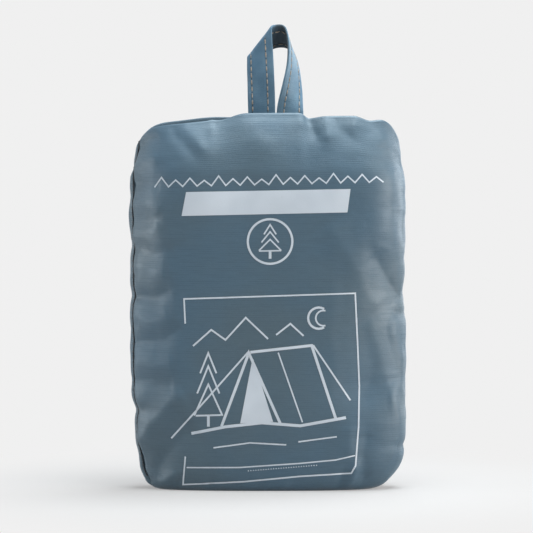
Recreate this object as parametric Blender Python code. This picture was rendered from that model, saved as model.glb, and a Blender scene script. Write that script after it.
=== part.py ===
# A tent organizer folded into its storage pouch, with its carry loop standing up.
# Metres, +Z up, the printed front faces -Y, and the origin is under the middle of the pouch.
# The organizer is a sheet of pockets: u runs down its height and v along its width. It is folded
# like a fan across its height into four leaves, and the stack is then folded down, up, down, up.

import math

import bmesh
import bpy
from mathutils import Vector

# The organizer, opened flat
SHEET_WIDTH = 0.650
SHEET_HEIGHT = 0.450
CLOTH = 0.0003
LAYER_GAP = 0.0003
EDGE_TAPE = 0.010
ROW_TAPE = 0.012
DIVIDER_TAPE = 0.010
ELASTIC = 0.006
MOUTH_DROP = 0.022       # from the edge tape, or the row tape, down to a pocket's mouth
STASH_DEPTH = 0.085      # height of the small solid pocket
SEWN_GAP = 0.0003        # between cloths that lie edge to edge

# Which layer of the folded stack each of the four leaves takes
BACKING_LAYERS = (0, 3, 4, 8)
POCKET_LAYERS = (1, 2, 5, 7)
STASH_LAYERS = (6, 6, 6, 6)
STACK_LAYERS = 9
RUN_HEADINGS = (-1, 1, -1, 1)   # the four runs of the stack: down, up, down, up
FOLD_STEPS = 4
TURN_STEPS = 6

# Corner straps and hooks
STRAP_WIDTH = 0.008
STRAP = 0.0004
STRAP_INSET = 0.001      # from the sheet's edge
STRAP_SEWN = 0.012       # length sewn to the sheet
STRAP_REACH = 0.006      # from the mitre to the hook
STRAP_RETURN = 0.0045    # stitched back on itself behind the hook
HOOK_LENGTH = 0.028
HOOK_WIDTH = 0.011
HOOK_THICKNESS = 0.0042
HOOK_BAR = 0.0016
HOOK_FRAME = 0.0068      # length of the frame that the strap is sewn round
HOOK_FINGER = 0.0029
HOOK_ENTRY = 0.0048      # way in between the frame and the finger's tip
HOOK_LAND = 0.0008       # raised edge round the hook's sunk faces
HOOK_SINK = 0.0007
HOOK_EDGE = 0.0003
FIT = 0.0003             # between a piece and what it seats on

# The pouch
PANEL = 0.0008
HEM = 0.0016
HEM_DEPTH = 0.012
OVERLOCK = 0.0010
OVERLOCK_WIDTH = 0.008
SEAM_GAP = 0.0003
SIDE_ROOM = 0.0183       # from the bundle out to the pouch's widest point
BULGE_ROOM = 0.0112      # from the bundle out to its deepest point
MOUTH_ROOM = 0.0030      # from the hooks out to the rim, inside
HEAD_ROOM = 0.0330       # from the bundle's top to the rim
SEAM_TURN = 0.24         # radians that the stuffing has turned the side seams by
SECTION_POWER = 2.5      # a horizontal section is a superellipse
PANEL_STEPS = 26
BODY_ROWS = 8

# How far the outline lies inside the widest point: height above the floor, inset
LEFT_FOOT = ((0.0, 0.0150), (0.0010, 0.0118), (0.0026, 0.0094), (0.006, 0.0076), (0.0104, 0.0056),
             (0.0137, 0.0048), (0.026, 0.0027), (0.042, 0.0019), (0.056, 0.0))
RIGHT_FOOT = ((0.0, 0.0190), (0.0004, 0.0171), (0.0015, 0.0134), (0.0038, 0.0097), (0.0075, 0.0061),
              (0.0122, 0.0029), (0.017, 0.0008), (0.022, 0.0))
DEPTH_FOOT = ((0.0, 0.0070), (0.0015, 0.0052), (0.004, 0.0036), (0.009, 0.0022), (0.022, 0.0010),
              (0.05, 0.0))
# The same below the rim: depth under the rim, inset
LEFT_SHOULDER = ((0.0, 0.0032), (0.0165, 0.0018), (0.030, 0.0))
RIGHT_SHOULDER = ((0.0, 0.0036), (0.014, 0.0022), (0.040, 0.0))
RIM_TAPER = 0.090        # height over which the depth narrows to the rim

# The rim sinks towards the side seams: how far, and how sharply
LEFT_DROP, LEFT_DROP_POWER = 0.0165, 8
RIGHT_DROP, RIGHT_DROP_POWER = 0.0140, 20
# Its waves: share of the half width, height over the rim's level
FRONT_RIM = ((-1.0, -0.0020), (-0.72, -0.0036), (-0.37, -0.0017), (-0.15, 0.0016), (0.25, 0.0018),
             (0.31, -0.0020), (0.42, 0.0), (0.65, 0.0003), (0.78, -0.0020), (1.0, -0.0020))
BACK_RIM = ((-1.0, -0.0010), (-0.72, -0.0012), (-0.37, 0.0003), (0.0, 0.0), (0.4, -0.0012), (1.0, -0.0020))

# The carry loop. It leans back, so that its arch clears what is drawn out of the mouth.
LOOP_X = 0.0006
LOOP_STRIP = 0.015
LOOP_CLOTH = 0.0012
LOOP_SEWN = 0.018        # length of the ends sewn inside the back rim
FOOT_DEPTH, FOOT_THICK = 0.35, 0.71   # a leg's rounded foot, as shares of its thickness
LOOP_LEFT_FOOT = -0.0036
LOOP_RIGHT_FOOT = 0.0119
# Each station: middle of the strip from the hinge (x, y, z), then the way across it
LOOP_STATIONS = (
    ((LOOP_LEFT_FOOT, 0.0, 0.0), (1.0, 0.0, 0.0)),
    ((-0.0037, 0.0, 0.0150), (1.0, 0.0, 0.0)),
    ((-0.0039, 0.0005, 0.0270), (0.98, 0.15, -0.12)),
    ((-0.00185, 0.0013, 0.0355), (0.54, 0.59, -0.60)),
    ((0.00065, 0.0017, 0.0415), (0.14, 0.67, -0.73)),
    ((0.0028, 0.0018, 0.0442), (0.03, 0.62, -0.78)),
    ((0.0092, 0.0018, 0.0443), (-0.03, 0.62, -0.78)),
    ((0.0115, 0.0021, 0.0387), (-0.16, 0.76, -0.63)),
    ((0.0130, 0.0022, 0.0315), (-0.39, 0.78, -0.47)),
    ((0.0132, 0.0020, 0.0235), (-0.59, 0.76, -0.20)),
    ((0.0125, 0.0011, 0.0135), (-0.79, 0.60, -0.07)),
    ((0.0121, 0.0, 0.0045), (-1.0, 0.0, 0.0)),
    ((LOOP_RIGHT_FOOT, 0.0, 0.0), (-1.0, 0.0, 0.0)),
)

# Derived: the folded stack
LAYER = CLOTH + LAYER_GAP
STACK = STACK_LAYERS * CLOTH + (STACK_LAYERS - 1) * LAYER_GAP
PITCH = STACK + LAYER_GAP
TURN_RADIUS = PITCH / 2
TURN_LENGTH = math.pi * TURN_RADIUS
RUN = (SHEET_WIDTH - TURN_LENGTH * (len(RUN_HEADINGS) - 1)) / len(RUN_HEADINGS)
FOLD_RADII = [(b - a) * LAYER / 2 for a, b in zip(BACKING_LAYERS, BACKING_LAYERS[1:])]
LEAF = (SHEET_HEIGHT - math.pi * sum(FOLD_RADII)) / len(BACKING_LAYERS)
BUNDLE_HALF_WIDTH = LEAF / 2 + max(FOLD_RADII) + CLOTH / 2
BUNDLE_HALF_DEPTH = (len(RUN_HEADINGS) * PITCH - LAYER_GAP) / 2
BUNDLE_FLOOR = PANEL + FIT + OVERLOCK + FIT
LOW_TURN_Z = BUNDLE_FLOOR + PITCH - LAYER_GAP / 2
HIGH_TURN_Z = LOW_TURN_Z + RUN
BUNDLE_TOP = HIGH_TURN_Z + PITCH - LAYER_GAP / 2

# Derived: straps and hooks
STRAP_TURN = HOOK_BAR / 2 * math.sqrt(2) + FIT + STRAP / 2
MITRE_SHIFT = STRAP + LAYER_GAP
STRAP_X = -LEAF / 2 + STRAP_INSET + STRAP_WIDTH / 2
HOOK_Z = BUNDLE_TOP + FIT + HOOK_WIDTH / 2
HOOK_X = STRAP_X + STRAP_WIDTH / 2 + STRAP_REACH

# Derived: the pouch
HALF_WIDTH = BUNDLE_HALF_WIDTH + SIDE_ROOM
HALF_DEPTH = BUNDLE_HALF_DEPTH + BULGE_ROOM
HOOK_HALF_DEPTH = (BUNDLE_HALF_DEPTH - LAYER - MITRE_SHIFT + STRAP_TURN + HOOK_THICKNESS / 2)
RIM_HALF_DEPTH = HOOK_HALF_DEPTH + MOUTH_ROOM + HEM
RIM = BUNDLE_TOP + HEAD_ROOM
HINGE_Y = RIM_HALF_DEPTH - HEM - FIT - LOOP_CLOTH / 2
HINGE_Z = RIM + LOOP_CLOTH / 2 + FIT
ROLL_ROWS = (0.0015, 0.004, 0.009, 0.017, 0.030)


def smooth_between(pairs, at):
    """Value at a place, easing from one listed (place, value) pair to the next."""
    if at <= pairs[0][0]:
        return pairs[0][1]
    for (start, low), (end, high) in zip(pairs, pairs[1:]):
        if at <= end:
            share = (at - start) / (end - start)
            return low + (high - low) * share * share * (3 - 2 * share)
    return pairs[-1][1]


def finish(name, colour, roughness, metallic=0.0):
    material = bpy.data.materials.new(name)
    material.use_nodes = True
    shader = material.node_tree.nodes["Principled BSDF"]
    shader.inputs["Base Color"].default_value = (*colour, 1.0)
    shader.inputs["Roughness"].default_value = roughness
    shader.inputs["Metallic"].default_value = metallic
    return material


def place(name, bm, material, at=(0.0, 0.0, 0.0), parent=None):
    """One named piece. Its mesh is modelled in the row frame, and its origin is put at a point."""
    bmesh.ops.recalc_face_normals(bm, faces=bm.faces)
    mesh = bpy.data.meshes.new(name)
    bmesh.ops.translate(bm, vec=-Vector(at), verts=bm.verts)
    bm.to_mesh(mesh)
    bm.free()
    mesh.materials.append(material)
    mesh.shade_smooth()
    mesh.set_sharp_from_angle(angle=math.radians(40))
    piece = bpy.data.objects.new(name, mesh)
    bpy.context.collection.objects.link(piece)
    if parent:
        piece.parent = parent
        at = Vector(at) - parent.location
    piece.location = at
    return piece


def loft(rings):
    """A closed solid through rings of points: (left, right) halves give its flat ends as strips."""
    bm = bmesh.new()
    rows = [[[bm.verts.new(point) for point in half] for half in ring] for ring in rings]
    loops = [left + right[::-1] for left, right in rows]
    for near, far in zip(loops, loops[1:]):
        for i in range(len(near)):
            j = (i + 1) % len(near)
            bm.faces.new((near[i], near[j], far[j], far[i]))
    for left, right in (rows[0], rows[-1]):
        for i in range(len(left) - 1):
            bm.faces.new((left[i], left[i + 1], right[i + 1], right[i]))
    return bm


# The folded organizer


def leaf_start(leaf):
    """Where along u a leaf's straight part starts."""
    return leaf * LEAF + math.pi * sum(FOLD_RADII[:leaf])


def locate(u):
    """The leaf that a height of the sheet lies in, and its place across the bundle."""
    leaf = max(i for i in range(len(BACKING_LAYERS)) if u >= leaf_start(i) - CLOTH)
    along = u - leaf_start(leaf) - LEAF / 2
    return leaf, along if leaf % 2 == 0 else -along


def layer_offset(layer):
    return (layer - (STACK_LAYERS - 1) / 2) * LAYER


def fold_profile(layers, u_start, u_end):
    """Left and right edge, across and through the stack, of one cloth between two heights."""
    half = CLOTH / 2
    first, x_first = locate(u_start)
    last, x_last = locate(u_end)
    left, right = [], []
    for leaf in range(first, last + 1):
        heading = 1 if leaf % 2 == 0 else -1
        level = layer_offset(layers[leaf])
        if leaf == first:
            left.append((x_first, level + heading * half))
            right.append((x_first, level - heading * half))
        if leaf == last:
            left.append((x_last, level + heading * half))
            right.append((x_last, level - heading * half))
            break
        centre = (level + layer_offset(layers[leaf + 1])) / 2
        radius = centre - level
        for step in range(FOLD_STEPS + 1):
            angle = math.pi * step / FOLD_STEPS
            for edge, reach in ((left, radius - heading * half), (right, radius + heading * half)):
                across = heading * (LEAF / 2 + reach * math.sin(angle))
                edge.append((across, centre - reach * math.cos(angle)))
    return left, right


def run_start(run):
    return run * (RUN + TURN_LENGTH)


def stations(v_start, v_end):
    """Where the stack passes, from one place along the sheet's width to another: y, z and normal."""
    found = []
    for run, heading in enumerate(RUN_HEADINGS):
        y = (run - (len(RUN_HEADINGS) - 1) / 2) * PITCH
        start, end = run_start(run), run_start(run) + RUN
        for v in (v_start, v_end):
            if start <= v <= end:
                z = HIGH_TURN_Z - (v - start) if heading < 0 else LOW_TURN_Z + (v - start)
                found.append((v, y, z, -heading, 0.0))
        if run == len(RUN_HEADINGS) - 1 or not v_start < end < v_end:
            continue
        turn_z = LOW_TURN_Z if heading < 0 else HIGH_TURN_Z
        for step in range(TURN_STEPS + 1):
            angle = math.pi * step / TURN_STEPS
            out = (-math.cos(angle), heading * math.sin(angle))
            found.append((end + TURN_LENGTH * step / TURN_STEPS, y + TURN_RADIUS * (1 + out[0]),
                          turn_z + TURN_RADIUS * out[1], heading * out[0], heading * out[1]))
    return sorted(found)


def cloth_piece(name, layers, u_range, v_range, material, parent):
    """A cloth of the organizer, folded with the stack."""
    profile = fold_profile(layers, *u_range)
    rings = []
    for _, y, z, normal_y, normal_z in stations(*v_range):
        rings.append([[(x, y + n * normal_y, z + n * normal_z) for x, n in edge] for edge in profile])
    return place(name, loft(rings), material, parent.location, parent)


def hook_mesh(material):
    """A one-piece hook along +X from its bar, with sunk faces and a slot for the strap."""
    half = HOOK_WIDTH / 2
    inner = half - HOOK_FINGER
    bend_x = HOOK_LENGTH - half
    tip_x = HOOK_FRAME + HOOK_ENTRY + HOOK_FINGER / 2
    rounding = half / 4

    def arc(x, z, radius, start, end, steps):
        angles = [math.radians(start + (end - start) * i / steps) for i in range(steps + 1)]
        return [(x + radius * math.cos(a), z + radius * math.sin(a)) for a in angles]

    outline = arc(rounding, -half + rounding, rounding, 180, 270, 2)
    outline += arc(bend_x, 0.0, half, -90, 90, 10)
    outline += arc(tip_x, half - HOOK_FINGER / 2, HOOK_FINGER / 2, 90, 270, 5)
    outline += arc(bend_x, 0.0, inner, 90, -90, 8)
    outline += arc(HOOK_FRAME + inner / 2, -inner + inner / 2, inner / 2, 270, 180, 2)
    outline += arc(HOOK_FRAME - rounding, half - rounding, rounding, 0, 90, 2)
    outline += arc(rounding, half - rounding, rounding, 90, 180, 2)

    bm = bmesh.new()
    face = bm.faces.new([bm.verts.new((x, -HOOK_THICKNESS / 2, z)) for x, z in outline])
    raised = bmesh.ops.extrude_face_region(bm, geom=[face])["geom"]
    top = [part for part in raised if isinstance(part, bmesh.types.BMVert)]
    bmesh.ops.translate(bm, vec=(0.0, HOOK_THICKNESS, 0.0), verts=top)
    bmesh.ops.recalc_face_normals(bm, faces=bm.faces)
    flats = [f for f in bm.faces if abs(f.normal.y) > 0.9]
    for flat in flats:
        bmesh.ops.inset_region(bm, faces=[flat], thickness=HOOK_LAND, depth=0.0, use_even_offset=True)
        bmesh.ops.inset_region(bm, faces=[flat], thickness=HOOK_EDGE, depth=-HOOK_SINK, use_even_offset=True)
    mesh = bpy.data.meshes.new("corner_hook")
    bm.to_mesh(mesh)
    bm.free()
    blank = bpy.data.objects.new("hook_blank", mesh)
    bpy.context.collection.objects.link(blank)

    slot_end = HOOK_BAR / 2 + STRAP_TURN + STRAP / 2 + FIT
    slot_half = STRAP_WIDTH / 2 + FIT
    bar_face = HOOK_BAR / 2
    beyond = HOOK_THICKNESS
    cuts = [((HOOK_BAR, slot_end), (-beyond, beyond)),
            ((-beyond, HOOK_BAR + CLOTH), (bar_face, beyond)),
            ((-beyond, HOOK_BAR + CLOTH), (-beyond, -bar_face))]
    cutters = []
    for (x_low, x_high), (y_low, y_high) in cuts:
        cutter_bm = bmesh.new()
        bmesh.ops.create_cube(cutter_bm, size=1.0)
        bmesh.ops.scale(cutter_bm, vec=(x_high - x_low, y_high - y_low, slot_half * 2), verts=cutter_bm.verts)
        middle = ((x_low + x_high) / 2, (y_low + y_high) / 2, 0.0)
        bmesh.ops.translate(cutter_bm, vec=middle, verts=cutter_bm.verts)
        cutter_mesh = bpy.data.meshes.new("slot_cutter")
        cutter_bm.to_mesh(cutter_mesh)
        cutter_bm.free()
        cutter = bpy.data.objects.new("slot_cutter", cutter_mesh)
        cutter.hide_render = True
        cutter.display_type = "WIRE"
        bpy.context.collection.objects.link(cutter)
        cut = blank.modifiers.new("slot", "BOOLEAN")
        cut.operation = "DIFFERENCE"
        cut.object = cutter
        cutters.append(cutter)
    graph = bpy.context.evaluated_depsgraph_get()
    finished = bpy.data.meshes.new_from_object(blank.evaluated_get(graph))
    for helper in [blank, *cutters]:
        bpy.data.objects.remove(helper)
    finished.materials.clear()
    finished.materials.append(material)
    finished.shade_smooth()
    finished.set_sharp_from_angle(angle=math.radians(35))
    return finished


def corner(name, run, leaf, shared_hook, strap_material, parent):
    """A corner's strap, folded over a mitre to lie along the bundle, and the hook on its end."""
    side = -1 if (run == 0) == (leaf == 0) else 1
    run_y = (run - (len(RUN_HEADINGS) - 1) / 2) * PITCH
    normal = -RUN_HEADINGS[run]
    layer_y = run_y + normal * layer_offset(POCKET_LAYERS[leaf])
    half = STRAP_WIDTH / 2
    low, high = HOOK_Z - half, HOOK_Z + half
    x_left, x_right = STRAP_X - half, STRAP_X + half
    shift = MITRE_SHIFT / 2
    cross = Vector((-1.0, 0.0, 1.0)).normalized()

    path = []

    def station(start, end, offset, across):
        """One ring: the strap's two edges, moved by an offset, and its thickness direction."""
        thick = across.normalized() * STRAP / 2
        near, far = Vector(start) + offset, Vector(end) + offset
        path.append(([near + thick, far + thick], [near - thick, far - thick]))

    out = Vector((0.0, side, 0.0))
    base = Vector((0.0, layer_y, 0.0))
    station((x_left, 0, HIGH_TURN_Z - STRAP_SEWN), (x_right, 0, HIGH_TURN_Z - STRAP_SEWN), base, -out)
    for step in range(5):
        angle = math.pi * step / 4
        swing = out * math.cos(angle) + cross * math.sin(angle)
        station((x_left, 0, low), (x_right, 0, high), base - out * shift + swing * shift, -swing)
    flat_y = layer_y - side * MITRE_SHIFT
    hook_y = flat_y + side * STRAP_TURN
    bar_x = HOOK_X + HOOK_BAR / 2
    for step in range(7):
        angle = math.pi * step / 6
        swing = Vector((math.sin(angle), -side * math.cos(angle), 0.0))
        station((0, 0, low), (0, 0, high), Vector((bar_x, hook_y, 0)) + swing * STRAP_TURN, -swing)
    back_y = flat_y + side * MITRE_SHIFT
    for x in (HOOK_X - STRAP_RETURN / 2, HOOK_X - STRAP_RETURN):
        station((0, 0, low), (0, 0, high), Vector((x, back_y, 0)), -out)
    strap = place(name + "_strap", loft(path), strap_material, parent.location, parent)

    hook = bpy.data.objects.new(name + "_hook", shared_hook)
    bpy.context.collection.objects.link(hook)
    hook.parent = parent
    hook.location = Vector((HOOK_X, hook_y, HOOK_Z)) - parent.location
    return strap, hook


def organizer(parent, finishes):
    """Every piece of the folded organizer."""
    side_gap = EDGE_TAPE + SEWN_GAP
    middle_u = SHEET_HEIGHT / 2
    row_gap = ROW_TAPE / 2 + SEWN_GAP
    column = SHEET_WIDTH / 3
    strip = DIVIDER_TAPE / 2
    whole = (0, SHEET_HEIGHT), (0, SHEET_WIDTH)
    cloth_piece("organizer_backing", BACKING_LAYERS, *whole, finishes["cloth"], parent)

    tape = finishes["tape"]
    inside = (side_gap, SHEET_WIDTH - side_gap)
    down = (side_gap, SHEET_HEIGHT - side_gap)
    along = (STRAP_SEWN + SEWN_GAP, SHEET_WIDTH - STRAP_SEWN - SEWN_GAP)
    foot = (SHEET_HEIGHT - EDGE_TAPE, SHEET_HEIGHT)
    far_side = (SHEET_WIDTH - EDGE_TAPE, SHEET_WIDTH)
    cloth_piece("top_edge_tape", POCKET_LAYERS, (0, EDGE_TAPE), along, tape, parent)
    cloth_piece("bottom_edge_tape", POCKET_LAYERS, foot, along, tape, parent)
    cloth_piece("left_edge_tape", POCKET_LAYERS, down, (0, EDGE_TAPE), tape, parent)
    cloth_piece("right_edge_tape", POCKET_LAYERS, down, far_side, tape, parent)
    row = (middle_u - ROW_TAPE / 2, middle_u + ROW_TAPE / 2)
    cloth_piece("row_tape", POCKET_LAYERS, row, inside, tape, parent)

    rows = {"upper": (side_gap, middle_u - row_gap), "lower": (middle_u + row_gap, SHEET_HEIGHT - side_gap)}
    edges = [inside[0], column - strip, column + strip, 2 * column - strip, 2 * column + strip, inside[1]]
    for level, (u_top, u_bottom) in rows.items():
        cloth_piece(level + "_left_divider", POCKET_LAYERS, (u_top, u_bottom), edges[1:3], tape, parent)
        cloth_piece(level + "_right_divider", POCKET_LAYERS, (u_top, u_bottom), edges[3:5], tape, parent)
        for index, place_name in enumerate(("left", "centre", "right")):
            v_low = edges[2 * index] + (SEWN_GAP if index else 0)
            v_high = edges[2 * index + 1] - (SEWN_GAP if index < 2 else 0)
            mouth = u_top + MOUTH_DROP
            binding = (mouth, mouth + ELASTIC)
            mesh = (mouth + ELASTIC + SEWN_GAP, u_bottom)
            name = f"{level}_{place_name}_pocket"
            pocket = (v_low, v_high)
            cloth_piece(name + "_elastic", POCKET_LAYERS, binding, pocket, finishes["elastic"], parent)
            cloth_piece(name, POCKET_LAYERS, mesh, pocket, finishes["mesh"], parent)
    stash_u = (rows["lower"][1] - STASH_DEPTH, rows["lower"][1])
    stash_v = (edges[4] + SEWN_GAP, edges[5])
    cloth_piece("stash_pocket", STASH_LAYERS, stash_u, stash_v, finishes["cloth"], parent)

    shared_hook = hook_mesh(finishes["plastic"])
    last_run, last_leaf = len(RUN_HEADINGS) - 1, len(BACKING_LAYERS) - 1
    corner("top_left", 0, 0, shared_hook, tape, parent)
    corner("bottom_left", 0, last_leaf, shared_hook, tape, parent)
    corner("top_right", last_run, 0, shared_hook, tape, parent)
    corner("bottom_right", last_run, last_leaf, shared_hook, tape, parent)


# The pouch


def outline(z):
    """Left end, right end and half depth of the pouch's outside at a height."""
    below = RIM - z
    left = HALF_WIDTH - smooth_between(LEFT_FOOT, z) - smooth_between(LEFT_SHOULDER, below)
    right = HALF_WIDTH - smooth_between(RIGHT_FOOT, z) - smooth_between(RIGHT_SHOULDER, below)
    taper = ((0.0, HALF_DEPTH - RIM_HALF_DEPTH), (RIM_TAPER, 0.0))
    depth = HALF_DEPTH - smooth_between(DEPTH_FOOT, z) - smooth_between(taper, below)
    return -left, right, depth


def rim_shift(x, waves):
    """How far the rim lies over its level, at a place across the pouch."""
    share = max(-1.0, min(1.0, x / HALF_WIDTH))
    drop = LEFT_DROP * abs(share) ** LEFT_DROP_POWER if share < 0 else RIGHT_DROP * share ** RIGHT_DROP_POWER
    return smooth_between(waves, share) - drop


def skin_point(z, angle, inset, waves, squeeze=1.0):
    """A point of the pouch, an inset inside its outer surface; squeeze flattens its depth."""
    low, high, depth = outline(z)
    across = (high - low) / 2 - inset
    deep = max(0.0, depth - inset) * squeeze
    cosine, sine = math.cos(angle), math.sin(angle)
    x = (low + high) / 2 + across * math.copysign(abs(cosine) ** (2 / SECTION_POWER), cosine)
    y = deep * math.copysign(abs(sine) ** (2 / SECTION_POWER), sine)
    share = max(0.0, (z - RIM + RIM_TAPER / 2) / (RIM_TAPER / 2))
    return Vector((x, y, z + rim_shift(x, waves) * share * share))


def body_rows():
    """Heights of the rows between the floor and the hem."""
    hem_z = RIM - HEM_DEPTH
    spread = hem_z - ROLL_ROWS[-1]
    return [*ROLL_ROWS, *(ROLL_ROWS[-1] + spread * i / BODY_ROWS for i in range(1, BODY_ROWS + 1))]


def panel(name, start_angle, waves, shift, material):
    """Half of the pouch: down from the hemmed rim, and under to the bottom seam."""
    hem_z = RIM - HEM_DEPTH
    rows = [(0.0, 0.0, PANEL), (0.0, 0.5, PANEL), (0.0, 1.0, PANEL)]
    rows += [(z, 1.0, PANEL) for z in body_rows()]
    rows += [(hem_z + PANEL, 1.0, HEM), (RIM - HEM, 1.0, HEM), (RIM, 1.0, HEM)]
    rings = []
    for index, (z, squeeze, wall) in enumerate(rows):
        outer, inner = [], []
        for step in range(PANEL_STEPS + 1):
            angle = start_angle + math.pi * step / PANEL_STEPS
            outer_inset = HEM / 4 if index == len(rows) - 1 else 0.0
            outside = skin_point(z, angle, outer_inset, waves, squeeze)
            inside = skin_point(max(z, PANEL), angle, wall, waves, squeeze)
            outer.append(outside + Vector((0.0, shift, 0.0)))
            inner.append(inside + Vector((0.0, shift, 0.0)))
        rings.append((outer, inner))
    return place(name, loft(rings), material)


def side_overlock(name, side, material):
    """The bound edges of both panels at a side seam, lying against the back panel."""
    turn = math.pi / PANEL_STEPS
    seam_angle = SEAM_TURN if side > 0 else math.pi + SEAM_TURN
    rows = [z for z in body_rows() if z > ROLL_ROWS[1]][:-1] + [RIM - HEM_DEPTH - FIT]
    rings = []
    for z in rows:
        outer, inner = [], []
        length = SEAM_GAP
        for step in range(4):
            angle = seam_angle + side * turn * step
            ends = [skin_point(z, angle, inset, BACK_RIM) for inset in (PANEL + FIT, PANEL + FIT + OVERLOCK)]
            if step:
                stride = (ends[0] - outer[-1]).length
                share = max(0.1, min(1.0, (OVERLOCK_WIDTH - length) / stride))
                ends = [last.lerp(end, share) for last, end in zip((outer[-1], inner[-1]), ends)]
                length += stride
            outer.append(ends[0])
            inner.append(ends[1])
        lift = Vector((0.0, SEAM_GAP, 0.0))
        rings.append(([point + lift for point in outer], [point + lift for point in inner]))
    return place(name, loft(rings), material)


def bottom_overlock(material):
    """The bound edges at the bottom seam, lying flat behind it."""
    low_z = PANEL + FIT
    reach = BUNDLE_HALF_WIDTH - EDGE_TAPE
    bm = bmesh.new()
    bmesh.ops.create_cube(bm, size=1.0)
    bmesh.ops.scale(bm, vec=(2 * reach, OVERLOCK_WIDTH, OVERLOCK), verts=bm.verts)
    middle = (0.0, SEAM_GAP + OVERLOCK_WIDTH / 2, low_z + OVERLOCK / 2)
    bmesh.ops.translate(bm, vec=middle, verts=bm.verts)
    return place("bottom_seam_overlock", bm, material)


def loop_strip(hinge, material):
    """The carry loop: one strip that leaves the left foot flat and turns edge-on over the arch."""
    points = [(Vector(middle), Vector(across).normalized()) for middle, across in LOOP_STATIONS]

    def between(values, index, share):
        """Catmull-Rom curve through the listed stations."""
        a, b, c, d = (values[max(0, min(len(values) - 1, index + i))] for i in (-1, 0, 1, 2))
        return 0.5 * (2 * b + (c - a) * share + (2 * a - 5 * b + 4 * c - d) * share ** 2
                      + (3 * b - a - 3 * c + d) * share ** 3)

    middles, acrosses = [p[0] for p in points], [p[1] for p in points]
    line = []
    for index in range(len(points) - 1):
        for share in (0.0, 0.5):
            line.append((between(middles, index, share), between(acrosses, index, share).normalized()))
    line.append(points[-1])
    rings = []
    for index, (middle, across) in enumerate(line):
        ahead = line[min(index + 1, len(line) - 1)][0] - line[max(index - 1, 0)][0]
        if index in (0, len(line) - 1):
            ahead = Vector((0.0, 0.0, 1.0 if index == 0 else -1.0))
        thick = ahead.cross(across).normalized() * LOOP_CLOTH / 2
        edges = [hinge + middle + across * LOOP_STRIP * share for share in (-0.5, 0.0, 0.5)]
        rings.append(([point + thick for point in edges], [point - thick for point in edges]))
    low = Vector((0.0, 0.0, LOOP_CLOTH * FOOT_DEPTH))
    for index, end in ((0, rings[0]), (len(rings), rings[-1])):
        foot = []
        for near, far in (end, end[::-1]):
            foot.append([a.lerp(b, (1 - FOOT_THICK) / 2) - low for a, b in zip(near, far)])
        rings.insert(index + (1 if index else 0), tuple(foot))
    return place("carry_loop", loft(rings), material, hinge)


def loop_end(name, x, hinge, material):
    """One end of the loop's strip, sewn inside the back rim."""
    bm = bmesh.new()
    bmesh.ops.create_cube(bm, size=1.0)
    bmesh.ops.scale(bm, vec=(LOOP_STRIP, LOOP_CLOTH, LOOP_SEWN), verts=bm.verts)
    top = hinge.z - LOOP_CLOTH / 2 - FIT
    bmesh.ops.translate(bm, vec=(hinge.x + x, hinge.y, top - LOOP_SEWN / 2), verts=bm.verts)
    return place(name, bm, material)


def build():
    for item in list(bpy.data.objects):
        bpy.data.objects.remove(item)
    finishes = {
        "shell": finish("coated_polyester", (0.10, 0.17, 0.23), 0.5),
        "thread": finish("seam_thread", (0.03, 0.045, 0.06), 0.8),
        "strip": finish("loop_strip", (0.13, 0.22, 0.30), 0.6),
        "cloth": finish("organizer_cloth", (0.11, 0.18, 0.24), 0.6),
        "mesh": finish("pocket_mesh", (0.03, 0.035, 0.04), 0.8),
        "tape": finish("edge_tape", (0.07, 0.08, 0.09), 0.7),
        "elastic": finish("mouth_elastic", (0.05, 0.055, 0.06), 0.7),
        "plastic": finish("hook_plastic", (0.02, 0.022, 0.025), 0.4),
    }
    panel("pouch_front_panel", math.pi + SEAM_TURN, FRONT_RIM, -SEAM_GAP / 2, finishes["shell"])
    panel("pouch_back_panel", SEAM_TURN, BACK_RIM, SEAM_GAP / 2, finishes["shell"])
    side_overlock("left_seam_overlock", -1, finishes["thread"])
    side_overlock("right_seam_overlock", 1, finishes["thread"])
    bottom_overlock(finishes["thread"])
    hinge = Vector((LOOP_X, HINGE_Y, HINGE_Z))
    loop_end("loop_end_left", LOOP_LEFT_FOOT, hinge, finishes["strip"])
    loop_end("loop_end_right", LOOP_RIGHT_FOOT, hinge, finishes["strip"])
    loop_strip(hinge, finishes["strip"])

    bundle = bpy.data.objects.new("organizer", None)
    bundle.location = (0.0, 0.0, BUNDLE_FLOOR)
    bpy.context.collection.objects.link(bundle)
    organizer(bundle, finishes)


build()
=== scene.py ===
# A tent organizer packed in its stuffed pouch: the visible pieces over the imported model.
import bisect
import math
import random

import bmesh
import bpy
from mathutils import Matrix, Vector, noise
from mathutils.bvhtree import BVHTree


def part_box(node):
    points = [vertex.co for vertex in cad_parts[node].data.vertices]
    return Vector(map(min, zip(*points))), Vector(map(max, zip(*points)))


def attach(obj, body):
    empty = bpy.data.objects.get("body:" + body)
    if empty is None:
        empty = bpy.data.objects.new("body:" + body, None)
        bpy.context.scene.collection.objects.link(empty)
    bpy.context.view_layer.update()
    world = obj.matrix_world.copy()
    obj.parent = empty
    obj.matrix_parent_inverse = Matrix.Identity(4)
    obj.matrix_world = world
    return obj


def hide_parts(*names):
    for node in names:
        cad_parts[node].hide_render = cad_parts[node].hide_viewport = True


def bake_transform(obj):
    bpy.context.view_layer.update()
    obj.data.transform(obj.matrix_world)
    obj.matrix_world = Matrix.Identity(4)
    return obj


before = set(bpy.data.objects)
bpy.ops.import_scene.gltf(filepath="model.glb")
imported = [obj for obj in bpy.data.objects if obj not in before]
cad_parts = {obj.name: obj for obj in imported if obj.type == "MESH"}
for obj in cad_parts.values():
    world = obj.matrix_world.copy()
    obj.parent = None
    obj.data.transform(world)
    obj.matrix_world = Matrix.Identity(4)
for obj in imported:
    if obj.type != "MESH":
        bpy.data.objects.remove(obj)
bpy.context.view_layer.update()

milli = 0.001     # one millimetre, in metres
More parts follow.
